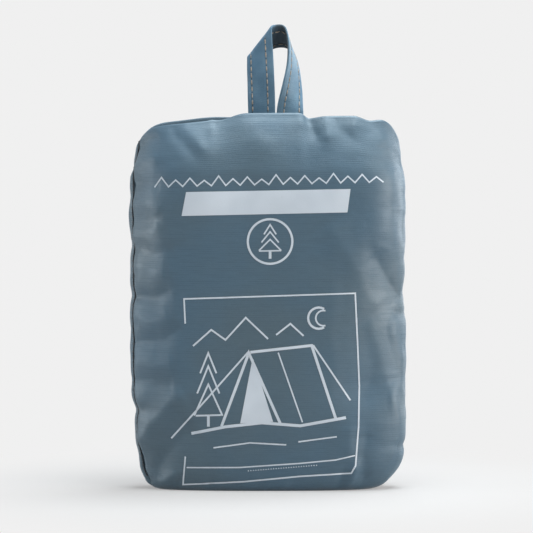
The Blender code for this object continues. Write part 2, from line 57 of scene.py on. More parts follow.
stage = {"target": (-0.0004, 0.0, 0.1210), "distance": 1.6, "elevation": 2.5, "view": 0.29155, "sensor": 36.0,
         "backdrop": 0.871, "fill": 0.12, "floor": (0.612, 0.577, 0.567), "glowFrom": (0.08, 0.22),
         "glowNear": 0.35}


def ease(start, end, at):
    share = max(0.0, min(1.0, (at - start) / (end - start)))
    return share * share * (3 - 2 * share)


def along(pairs, at):
    # value at a place, on a smooth curve through listed (place, value) pairs that doesn't overshoot
    if at <= pairs[0][0]:
        return pairs[0][1]
    if at >= pairs[-1][0]:
        return pairs[-1][1]
    index = next(i for i in range(len(pairs) - 1) if at <= pairs[i + 1][0])

    def slope(i):
        if i in (0, len(pairs) - 1):
            return 0.0
        before = (pairs[i][1] - pairs[i - 1][1]) / (pairs[i][0] - pairs[i - 1][0])
        after = (pairs[i + 1][1] - pairs[i][1]) / (pairs[i + 1][0] - pairs[i][0])
        return 0.0 if before * after <= 0 else 2 * before * after / (before + after)

    (start, low), (end, high) = pairs[index], pairs[index + 1]
    wide = end - start
    t = (at - start) / wide
    return ((2 * t ** 3 - 3 * t ** 2 + 1) * low + (t ** 3 - 2 * t ** 2 + t) * wide * slope(index)
            + (3 * t ** 2 - 2 * t ** 3) * high + (t ** 3 - t ** 2) * wide * slope(index + 1))


def pieceName(node):
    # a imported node's name in this scene's style
    first, *rest = node.replace("pocket_elastic", "elastic").split("_")
    return first + "".join(word.title() for word in rest)


def makePiece(name, bm, material, body=None, replaces=(), recalc=True):
    if recalc:
        bmesh.ops.recalc_face_normals(bm, faces=bm.faces)
    mesh = bpy.data.meshes.new(name)
    bm.to_mesh(mesh)
    bm.free()
    mesh.materials.append(material)
    mesh.shade_smooth()
    piece = bpy.data.objects.new(name, mesh)
    bpy.context.scene.collection.objects.link(piece)
    if replaces:
        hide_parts(*replaces)
    if body:
        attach(piece, body)
    return piece


def clothGrid(wide, tall, placeAt, *moreLayers):
    # a grid of cells: placeAt gives each corner's place and its spot on every pattern layer
    bm = bmesh.new()
    bmesh.ops.create_grid(bm, x_segments=wide, y_segments=tall, size=1.0)
    layers = [bm.loops.layers.uv.new(name) for name in ("flat", *moreLayers)]
    spots = {}
    for vert in bm.verts:
        column, row = round((vert.co.x + 1) / 2 * wide), round((vert.co.y + 1) / 2 * tall)
        vert.co, *spots[vert] = placeAt(column, row)
    for face in bm.faces:
        for corner in face.loops:
            for layer, spot in zip(layers, spots[corner.vert]):
                corner[layer].uv = spot
    return bm


def thicken(piece, wall, offset=-1.0):
    shell = piece.modifiers.new("wall", "SOLIDIFY")
    shell.thickness = wall
    shell.offset = offset
    shell.use_even_offset = False


# Materials. A wire is a socket, so that shader maths reads as plain sums, and | joins two masks.


class Wire:
    def __init__(self, paint, socket):
        self.paint = paint
        self.socket = socket

    def sum(self, operation, *values):
        return self.paint.node("ShaderNodeMath", {"operation": operation}, dict(enumerate(values)))

    def __add__(self, other):
        return self.sum("ADD", self, other)

    def __sub__(self, other):
        return self.sum("SUBTRACT", self, other)

    def __rsub__(self, other):
        return self.sum("SUBTRACT", other, self)

    def __mul__(self, other):
        return self.sum("MULTIPLY", self, other)

    def __or__(self, other):
        return self.sum("MAXIMUM", self, other)

    __radd__ = __add__
    __rmul__ = __mul__
    __ror__ = __or__

    def wave(self):
        return self.sum("SINE", self)

    def between(self, low, high):
        return self.paint.node("ShaderNodeMapRange", {"interpolation_type": "SMOOTHSTEP"},
                               {"Value": self, "From Min": low, "From Max": high})


class Paint:
    # the nodes of a material, or of the world
    def __init__(self, owner, **fixed):
        self.owner = owner
        owner.use_nodes = True
        self.tree = owner.node_tree
        self.shader = next(n for n in self.tree.nodes if n.name in ("Principled BSDF", "Background"))
        self.out = next(n for n in self.tree.nodes if n.name in ("Material Output", "World Output"))
        for socket, value in fixed.items():
            self.shader.inputs[socket.replace("_", " ")].default_value = value

    def node(self, kind, settings, values, output=0):
        made = self.tree.nodes.new(kind)
        for name, value in settings.items():
            setattr(made, name, value)
        for name, value in values.items():
            self.feed(made.inputs[name], value)
        return Wire(self, made.outputs[output])

    def feed(self, socket, value):
        if isinstance(value, Wire):
            self.tree.links.new(value.socket, socket)
        else:
            socket.default_value = value

    def set(self, name, value):
        self.feed(self.shader.inputs[name], value)

    def mix(self, factor, first, second):
        colours = [(*c, 1.0) if isinstance(c, tuple) else c for c in (first, second)]
        return self.node("ShaderNodeMix", {"data_type": "RGBA"},
                         {0: factor, 6: colours[0], 7: colours[1]}, output=2)

    def cloud(self, place, scale, detail=3.0, rough=0.55):
        return self.node("ShaderNodeTexNoise", {}, {"Vector": place, "Scale": scale, "Detail": detail,
                                                    "Roughness": rough})

    def place(self):
        return self.node("ShaderNodeTexCoord", {}, {}, output=3)

    def stretch(self, place, scale):
        return self.node("ShaderNodeMapping", {}, {"Vector": place, "Scale": scale})

    def weaveUv(self, name):
        return self.node("ShaderNodeUVMap", {"uv_map": name}, {})

    def split(self, vector):
        parts = self.node("ShaderNodeSeparateXYZ", {}, {0: vector})
        outputs = parts.socket.node.outputs
        return Wire(self, outputs[0]), Wire(self, outputs[1])

    def bump(self, height, depth):
        self.set("Normal", self.node("ShaderNodeBump", {}, {"Height": height, "Distance": depth,
                                                             "Strength": 1.0}))


def clothPaint(name, look):
    # woven cloth, its threads laid along the piece's own flat pattern, in metres
    paint = Paint(bpy.data.materials.new(name), Roughness=look["rough"], Sheen_Weight=look["sheen"],
                  Sheen_Roughness=0.45, Sheen_Tint=(*look["sheenTint"], 1.0),
                  Specular_IOR_Level=look["gloss"], Specular_Tint=(*look["glossTint"], 1.0))
    across, up = paint.split(paint.weaveUv("flat"))
    turn = 2 * math.pi / look["thread"]
    warp, weft = (across * turn).wave(), (up * (turn * look["rib"])).wave()
    weave = warp * weft * 0.5 + weft * 0.5
    place = paint.place()
    slub = paint.cloud(paint.stretch(place, look["slubStretch"]), 1.0, 2.0)
    ribs = ((up * (2 * math.pi / look["ribPitch"])).wave() * 0.5 + 0.5) * slub.between(0.35, 0.65)
    patches = paint.cloud(place, look["patch"]).between(0.3, 0.7)
    specks = paint.cloud(place, 900.0, 2.0).between(0.35, 0.75)
    colour = paint.mix(patches, look["dark"], look["light"])
    worn = paint.mix(specks * look["speck"], colour, look["fibre"])
    threadShade = (weave * 0.5 + 0.5) * look["weaveShade"] + ribs * look["ribShade"]
    finish = paint.mix(threadShade, worn, look["groove"])
    # painted shade: the strip is darkened where the inside of the loop's arch lies in shadow
    if "hollow" in look:
        finish = paint.mix(paint.split(paint.weaveUv("hollow"))[0], finish, look["hollow"])
    paint.set("Base Color", finish)
    paint.set("Roughness", patches * 0.08 + specks * 0.06 + ribs * look["ribShade"] * 0.5
              + (look["rough"] - 0.07))
    creases = paint.cloud(place, look["creaseScale"], 4.0, 0.6)
    paint.bump(weave * look["weaveDepth"] + ribs * look["ribDepth"] + creases * look["creaseDepth"], 1.0)
    return paint.owner


shellLook = {"thread": 0.00042, "rib": 1.25, "rough": 0.47, "gloss": 1.0, "sheen": 0.16,
             "glossTint": (0.86, 0.94, 1.0), "sheenTint": (0.75, 0.90, 1.0), "patch": 16.0, "speck": 0.06,
             "weaveShade": 0.16, "dark": (0.033, 0.071, 0.099), "light": (0.026, 0.077, 0.126),
             "fibre": (0.13, 0.22, 0.30), "groove": (0.014, 0.042, 0.070), "weaveDepth": 0.000018,
             "creaseScale": 160.0, "creaseDepth": 0.00010, "slubStretch": (90.0, 90.0, 900.0),
             "ribPitch": 0.00115, "ribShade": 0.26, "ribDepth": 0.00003}
# the strip's last colour is painted shade, for the inside of the loop's arch
stripLook = dict(shellLook, dark=(0.066, 0.150, 0.235), light=(0.135, 0.245, 0.340), patch=60.0, rib=1.0,
                 weaveDepth=0.00003, groove=(0.05, 0.12, 0.19), weaveShade=0.25, rough=0.5, gloss=0.7,
                 ribShade=0.1, hollow=(0.010, 0.020, 0.030))
innerLook = dict(shellLook, dark=(0.085, 0.135, 0.170), light=(0.105, 0.160, 0.200), rough=0.72, sheen=0.15,
                 gloss=0.3, thread=0.0005)
tapeLook = dict(shellLook, dark=(0.052, 0.060, 0.068), light=(0.066, 0.075, 0.084), rough=0.7, gloss=0.3,
                fibre=(0.12, 0.13, 0.14), groove=(0.02, 0.024, 0.028), thread=0.0007, rib=0.5,
                weaveDepth=0.00005, weaveShade=0.4)
elasticLook = dict(tapeLook, dark=(0.035, 0.038, 0.043), light=(0.045, 0.049, 0.054), thread=0.0009, rib=0.35,
                   weaveDepth=0.00008)
meshLook = dict(tapeLook, dark=(0.022, 0.025, 0.029), light=(0.030, 0.034, 0.038), thread=0.0016, rib=1.0,
                weaveShade=0.75, groove=(0.004, 0.005, 0.006), weaveDepth=0.00009)
shellCloth = clothPaint("coatedShell", shellLook)
stripCloth = clothPaint("loopStrip", stripLook)
innerCloth = clothPaint("organizerCloth", innerLook)
tapeCloth = clothPaint("edgeTape", tapeLook)
elasticCloth = clothPaint("mouthElastic", elasticLook)
pocketMesh = clothPaint("pocketMesh", meshLook)


def threadPaint(name, dark, light):
    paint = Paint(bpy.data.materials.new(name), Roughness=0.62, Sheen_Weight=0.25, Specular_IOR_Level=0.35)
    place = paint.place()
    lay = paint.cloud(place, 1600.0, 2.0)
    paint.set("Base Color", paint.mix(lay.between(0.3, 0.7), dark, light))
    paint.bump(lay, 0.00006)
    return paint.owner


# dark thread for the real stitches, also used for painted shade: the seam groove's cord and the loop's
# needle-hole marks
seamThreadAndShade = threadPaint("seamThreadAndShade", (0.008, 0.014, 0.020), (0.020, 0.030, 0.040))
topThread = threadPaint("topThread", (0.22, 0.18, 0.14), (0.44, 0.38, 0.31))


def inkPaint():
    # screen print: it sits on the threads and has worn off their crowns here and there
    paint = Paint(bpy.data.materials.new("screenInk"), Roughness=0.58, Specular_IOR_Level=0.35)
    place = paint.place()
    wear = paint.cloud(place, 420.0, 5.0, 0.7)
    broad = paint.cloud(place, 40.0, 2.0)
    pale = paint.mix(broad.between(0.3, 0.7), (0.54, 0.60, 0.67), (0.61, 0.67, 0.74))
    paint.set("Base Color", paint.mix(wear.between(0.60, 0.82) * 0.45, pale, (0.42, 0.48, 0.53)))
    paint.bump(paint.cloud(place, 1500.0, 2.0), 0.00004)
    return paint.owner


def plasticPaint():
    paint = Paint(bpy.data.materials.new("hookPlastic"), Specular_IOR_Level=0.45)
    place = paint.place()
    spark = paint.cloud(place, 2400.0, 2.0)
    wear = paint.cloud(place, 180.0, 4.0)
    paint.set("Base Color", paint.mix(wear.between(0.45, 0.75), (0.016, 0.018, 0.020), (0.034, 0.037, 0.040)))
    paint.set("Roughness", wear * 0.25 + 0.30)
    paint.bump(spark, 0.00005)
    return paint.owner


screenInk = inkPaint()
print("materials made")


# The pouch's form, in metres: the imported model's outline, with the stuffed front's swell and lean

pouch = {
    "rim": 0.20204, "halfWidth": 0.07496, "halfDepth": 0.02185, "rimHalfDepth": 0.01768,
    "wall": 0.0006, "hemDepth": 0.012, "hemGap": 0.0011, "seamTurn": 0.24, "power": 2.5, "taper": 0.090,
    "leftFoot": ((0.0, 0.0150), (0.0010, 0.0118), (0.0026, 0.0094), (0.006, 0.0076), (0.0104, 0.0056),
                 (0.0137, 0.0048), (0.026, 0.0027), (0.042, 0.0019), (0.056, 0.0)),
    "rightFoot": ((0.0, 0.0190), (0.0004, 0.0171), (0.0015, 0.0134), (0.0038, 0.0097), (0.0075, 0.0061),
                  (0.0122, 0.0029), (0.017, 0.0008), (0.022, 0.0)),
    "depthFoot": ((0.0, 0.0070), (0.0015, 0.0052), (0.004, 0.0036), (0.009, 0.0022), (0.022, 0.0010),
                  (0.05, 0.0)),
    "leftShoulder": ((0.0, 0.0032), (0.0165, 0.0018), (0.030, 0.0)),
    "rightShoulder": ((0.0, 0.0036), (0.014, 0.0022), (0.040, 0.0)),
    "leftDrop": (0.0256, 11.6), "rightDrop": (0.0250, 16),
    "frontRim": ((-1.0, -0.0020), (-0.72, -0.0036), (-0.44, -0.0020), (-0.40, -0.0014), (-0.36, -0.0016),
                 (-0.15, 0.0022), (0.23, 0.0024), (0.30, -0.0006), (0.42, 0.0006), (0.62, 0.0008),
                 (0.74, -0.0016), (0.84, -0.0002), (1.0, -0.0020)),
    "backRim": ((-1.0, -0.0010), (-0.72, -0.0012), (-0.37, 0.0009), (0.0, 0.0), (0.4, -0.0012),
                (1.0, -0.0020)),
    "columns": 168, "rowPitch": 0.0015,
    # how far the front leans, by the way down from the rim: in its middle, and at its shoulders
    "lean": ((0.0, -0.0033), (0.005, -0.0006), (0.010, 0.0018), (0.015, 0.0038), (0.020, 0.0052),
             (0.025, 0.0062), (0.030, 0.0068), (0.040, 0.0066), (0.060, 0.0050), (0.085, 0.0034),
             (0.130, 0.0014), (0.170, 0.0006), (0.196, 0.0)),
    "shoulderLean": ((0.0, 0.0), (0.005, 0.0021), (0.010, 0.0040), (0.015, 0.0056), (0.020, 0.0069),
                     (0.030, 0.0084), (0.040, 0.0087), (0.060, 0.0070), (0.085, 0.0045), (0.130, 0.0018),
                     (0.170, 0.0006), (0.196, 0.0)),
    "shoulderFrom": (0.010, 0.054), "leanFrom": (0.34, 0.86),
    # how full the front is, by the share of the way from its middle to a side
    "leftSection": ((0.0, 1.0), (0.30, 1.0), (0.55, 1.03), (0.65, 1.04), (0.73, 1.02), (0.80, 0.99),
                    (0.88, 0.97), (0.94, 0.98), (0.977, 1.0)),
    "rightSection": ((0.0, 1.0), (0.30, 1.01), (0.45, 1.01), (0.55, 0.97), (0.65, 0.92), (0.75, 0.88),
                     (0.88, 0.90), (0.97, 1.0)),
    "rightUpper": ((0.0, 1.0), (0.40, 1.01), (0.50, 1.03), (0.60, 1.05), (0.70, 1.09), (0.80, 1.14),
                   (0.88, 1.20), (0.93, 1.26), (0.96, 1.28), (1.0, 1.2)),
    "unevenSides": 0.08, "unevenScale": 52, "leftNarrow": 0.13, "leftNarrows": (0.10, 0.16),
    "leftFades": (0.13, 0.19), "upperFrom": (0.105, 0.150), "lowShare": 0.8, "lowFades": (0.034, 0.062),
    "upperFades": (0.165, 0.20), "swellFrom": 0.05,
}


def pouchOutline(z):
    below = pouch["rim"] - z
    left = pouch["halfWidth"] - along(pouch["leftFoot"], z) - along(pouch["leftShoulder"], below)
    right = pouch["halfWidth"] - along(pouch["rightFoot"], z) - along(pouch["rightShoulder"], below)
    narrow = ((0.0, pouch["halfDepth"] - pouch["rimHalfDepth"]), (pouch["taper"], 0.0))
    return -left, right, pouch["halfDepth"] - along(pouch["depthFoot"], z) - along(narrow, below)


def rimShift(x, waves):
    share = max(-1.0, min(1.0, x / pouch["halfWidth"]))
    drop, power = pouch["leftDrop"] if share < 0 else pouch["rightDrop"]
    return along(waves, share) - drop * abs(share) ** power


def frontSwell(x, z, middle, reach):
    # flatter in the middle, bent back at the sides, and fuller up and down the right side
    unevenAt = Vector((math.copysign(3, x), 0, z * pouch["unevenScale"]))
    across = min(1.0, abs(x - middle) / reach * (1 + pouch["unevenSides"] * noise.noise(unevenAt)))
    if x < middle:
        across *= 1 - pouch["leftNarrow"] * ease(*pouch["leftNarrows"], z)
        fade = ease(*pouch["leftFades"], z)
        return along(pouch["leftSection"], across) * (1 - fade) + fade
    upper = max(ease(*pouch["upperFrom"], z), pouch["lowShare"] * (1 - ease(*pouch["lowFades"], z)))
    full = 1 + (along(pouch["rightUpper"], across) - 1) * (1 - ease(*pouch["upperFades"], z))
    return along(pouch["rightSection"], across) * (1 - upper) + full * upper


def skinPoint(z, angle, inset, waves, squeeze, front):
    low, high, depth = pouchOutline(z)
    reach, middle = (high - low) / 2 - inset, (low + high) / 2
    deep = max(0.0, depth - inset) * squeeze
    cosine, sine = math.cos(angle), math.sin(angle)
    x = middle + reach * math.copysign(abs(cosine) ** (2 / pouch["power"]), cosine)
    y = deep * math.copysign(abs(sine) ** (2 / pouch["power"]), sine)
    if front:
        y *= 1 + (frontSwell(x, z, middle, reach) - 1) * ease(0.0, pouch["swellFrom"], z) * (y < 0)
        # the shoulders don't lean back, where the folded organizer's corners come out
        below, shoulder = pouch["rim"] - z, ease(*pouch["shoulderFrom"], abs(x))
        lean = along(pouch["lean"], below) * (1 - shoulder) + along(pouch["shoulderLean"], below) * shoulder
        y -= lean * ease(*pouch["leanFrom"], -y / deep) * squeeze
    share = max(0.0, (z - pouch["rim"] + pouch["taper"] / 2) / (pouch["taper"] / 2))
    return Vector((x, y, z + rimShift(x, waves) * share * share))


# Folds pressed into the panels: half width, height, and path from the middle of the floor line, in millimetres

frontFolds = (
    (5.0, 0.35, ((-62, 178), (-62, 160), (-58, 138), (-52, 112), (-48, 84), (-48.5, 46))),
    (6.0, -0.45, ((-70, 174), (-69, 150), (-65, 124), (-61, 98), (-58, 70), (-59, 52))),
    (5.0, 1.2, ((-44, 54), (-52, 48), (-62, 37), (-71, 24))),
    (8.5, -1.7, ((-38, 36), (-50, 26), (-63, 7))),
    (8.0, 0.9, ((32, 146), (43, 128), (53, 109), (60, 97))),
    (4.5, -1.1, ((57, 130), (64.5, 116), (74, 102))),
    (5.0, -0.4, ((72, 152), (68, 140), (64, 132))),
    (2.2, -0.6, ((75, 94.5), (68, 97))),
    (7.0, 0.6, ((54, 94), (60, 76), (65, 58))),
    (3.6, 0.5, ((65, 60), (69, 45), (73, 33), (75, 22))),
    (4.5, -0.8, ((54, 32), (52, 20), (53, 6))),
    (2.2, -0.7, ((75, 22.5), (70, 24))),
    (1.6, 0.6, ((18, 202), (21, 197))),
    (2.0, -0.8, ((20.5, 202.5), (24, 197), (27, 191))),
    (3.6, 1.1, ((32, 202), (33, 190))),
    (2.6, -0.35, ((36, 203), (39, 197), (47, 190))),
    (4.2, 0.6, ((44, 200), (56, 197), (64, 188))),
    (3.0, -0.6, ((54, 203), (59, 194))),
    (3.0, 0.55, ((-46.5, 198.5), (-38, 190), (-33, 183))),
    (2.6, -0.4, ((-52, 196), (-44, 187), (-38, 180))),
    (1.8, -0.6, ((-31, 203), (-28, 198))),
    (5.0, 0.4, ((-10, 201), (-6, 192), (2, 184))),
    (2.8, -0.7, ((-71, 184), (-64, 190), (-58, 192))),
    (3.0, 0.8, ((-73, 174), (-66, 178), (-58, 181))),
    (3.0, -0.7, ((-74, 165), (-66, 167), (-57, 165))),
    (3.4, 0.6, ((-73, 155), (-65, 156), (-57, 151))),
    (3.0, -0.5, ((-56, 150), (-64, 146), (-73, 146))),
    (3.4, 0.5, ((-73, 138), (-65, 140), (-57, 144))),
    (3.4, -0.6, ((-50, 132), (-60, 129), (-73, 131))),
    (4.0, 0.6, ((-54, 118), (-62, 118), (-73, 122))),
    (3.2, -0.9, ((-52, 110), (-60, 105), (-73, 105))),
    (4.0, 0.6, ((-52, 95), (-62, 92), (-73, 95))),
    (3.6, -0.8, ((-46, 90), (-56, 82), (-73, 80))),
    (4.2, 0.6, ((-50, 70), (-60, 68), (-73, 70))),
    (3.4, -0.6, ((-50, 58), (-60, 58), (-73, 60))),
    (1.8, 1.3, ((43, 0), (46.5, 8.5), (48, 15))),
    (2.8, -0.9, ((50, 1), (54, 10))),
    (2.4, -0.7, ((38, 2), (42, 12))),
    (4.0, 0.6, ((44, 20), (45, 36))),
    (1.6, -1.1, ((-33, 0), (-30, 5))),
    (2.2, 0.9, ((-58, 3), (-49, 9))),
    (1.7, -0.9, ((-51, 0), (-48, 5))),
    (1.4, 0.9, ((6, 0), (11, 4.5))),
    (1.4, 0.8, ((24, 0), (31, 3.5))),
    (1.4, -0.8, ((-8, 0), (-4, 4))),
)
backFolds = (
    (4.5, 1.0, ((-70, 150), (-52, 132), (-44, 118))),
    (3.5, -0.9, ((-74, 138), (-60, 124))),
    (4.0, -1.0, ((72, 118), (58, 106), (48, 100))),
    (4.5, 1.0, ((73, 72), (60, 64), (50, 50))),
    (3.0, -0.8, ((74, 60), (62, 52))),
    (4.5, -0.9, ((-72, 56), (-58, 50), (-46, 36))),
    (3.0, 0.7, ((-64, 24), (-50, 18))),
    (2.6, -0.8, ((-14, 203), (-16, 192), (-22, 182))),
    (2.6, -0.8, ((21, 203), (22, 190), (28, 180))),
    (4.0, 0.6, ((3, 202), (3, 186))),
    (3.0, 0.7, ((48, 200), (40, 188))),
    (2.0, -0.7, ((-40, 0), (-36, 6))),
    (2.0, -0.7, ((14, 0), (18, 5))),
    (2.2, 0.7, ((44, 0), (46, 7))),
    (9.0, -0.5, ((-20, 120), (10, 108), (36, 112))),
)
seamPulls = {     # heights where the side seams are drawn in, and how far, in millimetres
    "left": ((20, 0.3), (43.2, 1.3), (60, 0.2), (81, 0.35), (105.6, 1.1), (118, 0.2), (132, 0.6),
             (147, 0.2), (160, 0.4), (174, 0.3)),
    "right": ((24.0, 0.9), (47, 0.2), (63, 0.15), (78, 0.2), (94.6, 0.6), (110, 0.2), (126, 0.3),
              (143, 0.2), (160, 0.3), (177, 0.2)),
    "reach": 11.0, "pinch": 3.4,
}


def foldRise(folds, x, z):
    rise = 0.0
    for width, height, path in folds:
        total = sum(math.dist(a, b) for a, b in zip(path, path[1:]))
        best, share, passed = 1e9, 0.0, 0.0
        for (ax, az), (bx, bz) in zip(path, path[1:]):
            length = math.dist((ax, az), (bx, bz))
            t = max(0.0, min(1.0, ((x - ax) * (bx - ax) + (z - az) * (bz - az)) / length ** 2))
            gap = math.dist((x, z), (ax + (bx - ax) * t, az + (bz - az) * t))
            if gap < best:
                best, share = gap, (passed + t * length) / total
            passed += length
        if best > width * 3.2:
            continue
        fade = min(1.0, 0.35 + 2.2 * math.sin(math.pi * min(0.98, max(0.02, share))))
        crest = 1 + 0.3 / (1 + (2 * best / width) ** 2)
        rise += height * fade * math.exp(-((best / width) ** 2) * 0.5) * crest
    return rise


def seamPull(side, z):
    pull = 0.0
    for at, depth in seamPulls[side]:
        pull += depth * math.exp(-((z / milli - at) / seamPulls["pinch"]) ** 2)
    return pull


def panelRows():
    # height, how far the panel is open in depth, and inset, from the bottom seam to the end of the hem
    rim, gap = pouch["rim"], pouch["hemGap"]
    low, high = 0.0055, rim - 0.0024
    rows = [(0.0004, 0.02, 0.0), (0.0, 0.30, 0.0), (0.0, 0.60, 0.0), (0.0, 0.85, 0.0)]
    rows += [(z, 1.0, 0.0) for z in (0.0, 0.0003, 0.0008, 0.0015, 0.0026, 0.004)]
    steps = round((high - low) / pouch["rowPitch"])
    rows += [(low + (high - low) * i / steps, 1.0, 0.0) for i in range(steps + 1)]
    rows += [(rim - 0.0014, 1.0, 0.0), (rim - 0.0006, 1.0, 0.00008), (rim - 0.0001, 1.0, gap * 0.3),
             (rim - 0.0001, 1.0, gap * 0.75), (rim - 0.0006, 1.0, gap)]
    rows += [(rim - 0.0006 - (pouch["hemDepth"] - 0.0006) * i / 6, 1.0, gap) for i in range(1, 7)]
    return rows


settling = {
    "step": 2, "holdAtSeam": 0.14, "holdInside": 0.55, "seamReach": (0.08, 0.30), "frames": 16, "cap": 0.0014,
    "smoothings": 3,
    "cloth": {"quality": 6, "mass": 0.1, "tension_stiffness": 12.0, "compression_stiffness": 12.0,
              "shear_stiffness": 4.0, "bending_stiffness": 0.5, "shrink_min": -0.014, "use_pressure": True,
              "uniform_pressure_force": 0.5, "vertex_group_mass": "hold", "pin_stiffness": 1.0},
}


def settleCloth(cells, columns, rows):
    # the sewn cloth settles: held at its seams, pushed out by the stuffing, with a little cloth to spare
    body = [row for row, (_, squeeze, inset) in enumerate(rows) if squeeze == 1.0 and inset == 0.0]
    pickedRows = body[::settling["step"]] + ([body[-1]] if (len(body) - 1) % settling["step"] else [])
    pickedColumns = list(range(0, columns + 1, settling["step"]))
    wide, tall = len(pickedColumns) - 1, len(pickedRows) - 1
    bm = bmesh.new()
    bmesh.ops.create_grid(bm, x_segments=wide, y_segments=tall, size=1.0)
    spots = []
    for vert in bm.verts:
        column, row = round((vert.co.x + 1) / 2 * wide), round((vert.co.y + 1) / 2 * tall)
        spots.append((column, row))
        vert.co = cells[pickedColumns[column], pickedRows[row]]
    mesh = bpy.data.meshes.new("settling")
    bm.to_mesh(mesh)
    bm.free()
    trial = bpy.data.objects.new("settling", mesh)
    bpy.context.scene.collection.objects.link(trial)
    hold = trial.vertex_groups.new(name="hold")
    loose, firm = settling["holdAtSeam"], settling["holdInside"]
    for index, (column, row) in enumerate(spots):
        onEdge = min(column, wide - column, row, tall - row) == 0
        fromSeam = ease(*settling["seamReach"], min(column, wide - column) / wide)
        hold.add([index], 1.0 if onEdge else loose + (firm - loose) * fromSeam, "REPLACE")
    cloth = trial.modifiers.new("cloth", "CLOTH")
    for name, value in settling["cloth"].items():
        setattr(cloth.settings, name, value)
    cloth.settings.effector_weights.gravity = 0.0
    scene = bpy.context.scene
    for frameNumber in range(1, settling["frames"] + 1):
        scene.frame_set(frameNumber)
    moved = trial.evaluated_get(bpy.context.evaluated_depsgraph_get()).to_mesh()
    shifts, cap = {}, settling["cap"]
    for index, spot in enumerate(spots):
        shift = moved.vertices[index].co - mesh.vertices[index].co
        size = shift.length
        shifts[spot] = shift * (math.tanh(size / cap) * cap / size) if size > 1e-7 else shift
    for _ in range(settling["smoothings"]):
        # the finest ripples are the solver's, not the cloth's
        shifts = {(column, row): shift * 0.5 + 0.125 * sum(
            (shifts.get((column + a, row + b), shift) for a, b in ((1, 0), (-1, 0), (0, 1), (0, -1))), Vector())
            for (column, row), shift in shifts.items()}
    furthest = max(shift.length for shift in shifts.values())
    bpy.data.objects.remove(trial)
    scene.frame_set(1)
    for (column, row), point in cells.items():
        if row < pickedRows[0] or row > pickedRows[-1]:
            continue
        across = column / settling["step"]
        left = min(wide - 1, int(across))
        low = max(i for i, picked in enumerate(pickedRows[:-1]) if picked <= row)
        up = (row - pickedRows[low]) / (pickedRows[low + 1] - pickedRows[low])
        near = shifts[left, low].lerp(shifts[left + 1, low], across - left)
        far = shifts[left, low + 1].lerp(shifts[left + 1, low + 1], across - left)
        point += near.lerp(far, up)
    print("cloth settled, furthest", round(furthest / milli, 2), "mm")


relief = {     # small waves over the cloth, in millimetres high, and the seam turned in under its edge
    "wander": 0.9, "wanderScale": (38, 38, 30), "fine": 0.22, "fineScale": (120, 120, 95), "fineReach": 30,
    "rimReach": 0.016, "rimShare": 0.5, "turnIn": 1.7, "turnReach": 1.3, "footReach": 0.006,
}


def reliefRise(point, folds, side, near, facing):
    # how far the cloth stands out here, in millimetres, near being the way to the closest side seam
    rise = foldRise(folds, point.x / milli, point.z / milli)
    rise -= seamPull(side, point.z) * math.exp(-near / seamPulls["reach"])
    wander = noise.noise(point * Vector(relief["wanderScale"]) + Vector((3 * facing, 0, 0)))
    fine = noise.noise(point * Vector(relief["fineScale"])) * math.exp(-near / relief["fineReach"])
    return rise + relief["wander"] * wander + relief["fine"] * fine


def makePanel(node, startAngle, waves, folds, facing):
    # facing is -1 for the front panel and 1 for the back panel
    rows = panelRows()
    columns = pouch["columns"]
    cells, spots = {}, {}
    climb, last = 0.0, None
    for row, (z, squeeze, inset) in enumerate(rows):
        line = [skinPoint(z, startAngle + math.pi * column / columns, inset, waves, squeeze, facing < 0)
                for column in range(columns + 1)]
        run = [0.0]
        for near, far in zip(line, line[1:]):
            run.append(run[-1] + (far - near).length)
        if last:
            climb += (line[columns // 2] - last[columns // 2]).length
        last = line
        for column, point in enumerate(line):
            near = min(run[column], run[-1] - run[column]) / milli
            if squeeze == 1.0:
                onLeft = (run[column] < run[-1] / 2) == (facing < 0)
                outward = (line[min(column + 1, columns)] - line[max(column - 1, 0)]).cross(Vector((0, 0, 1)))
                rise = reliefRise(point, folds, "left" if onLeft else "right", near, facing)
                rise *= 1 - relief["rimShare"] * ease(pouch["rim"] - relief["rimReach"], pouch["rim"], z)
                rise -= relief["turnIn"] * math.exp(-(near / relief["turnReach"]) ** 2)
                point = point + outward.normalized() * rise * milli * ease(0.0, relief["footReach"], z)
            cells[column, row] = point + Vector((0.0, facing * 0.00025 * math.exp(-near / 0.8), 0.0))
            spots[column, row] = (run[column], climb)
    settleCloth(cells, columns, rows)
    bm = clothGrid(columns, len(rows) - 1, lambda *cell: (cells[cell], spots[cell]))
    piece = makePiece(pieceName(node), bm, shellCloth, "pouch", (node,), recalc=False)
    # a grid's faces point one way all over, so one test says whether they point out
    middle = piece.data.polygons[len(piece.data.polygons) // 2]
    if middle.normal.y * facing < 0:
        piece.data.flip_normals()
    thicken(piece, pouch["wall"])
    return piece, cells


frontPanel, frontCells = makePanel("pouch_front_panel", math.pi + pouch["seamTurn"], pouch["frontRim"],
                                   frontFolds, -1)
_, backCells = makePanel("pouch_back_panel", pouch["seamTurn"], pouch["backRim"], backFolds, 1)
print("pouch panels made")


# The side seams' dark stitches, and a dark cord in the groove between the panels that is painted shade


def addStitch(bm, start, end, up, wide, high):
    # one plump stitch: a small closed form stretched from end to end
    forward = end - start
    across = forward.cross(up)
    if across.length < 1e-9:
        return
    across.normalize()
    over = across.cross(forward).normalized()
    turn = Matrix((forward.normalized(), across, over)).transposed().to_4x4()
    size = Matrix.Diagonal((forward.length / 2, wide / 2, high / 2, 1.0))
    placed = Matrix.Translation((start + end) / 2) @ turn @ size @ Matrix.Rotation(math.pi / 2, 4, "Y")
    bmesh.ops.create_uvsphere(bm, u_segments=6, v_segments=5, radius=1.0, matrix=placed)


def seamLine(cells, column):
    return [cells[column, row] for row in sorted({row for _, row in cells})]


# the cord is painted shade along the seam's groove; the crossing stitches are dark thread
seamStitch = {"pitch": 0.0030, "span": 0.0024, "wide": 0.00080, "high": 0.0008, "start": 0.006, "stop": 0.199,
              "cord": 0.00090, "rise": 0.0014, "out": (0.85, -0.53), "lay": (-0.27, -0.42), "over": 0.0002}


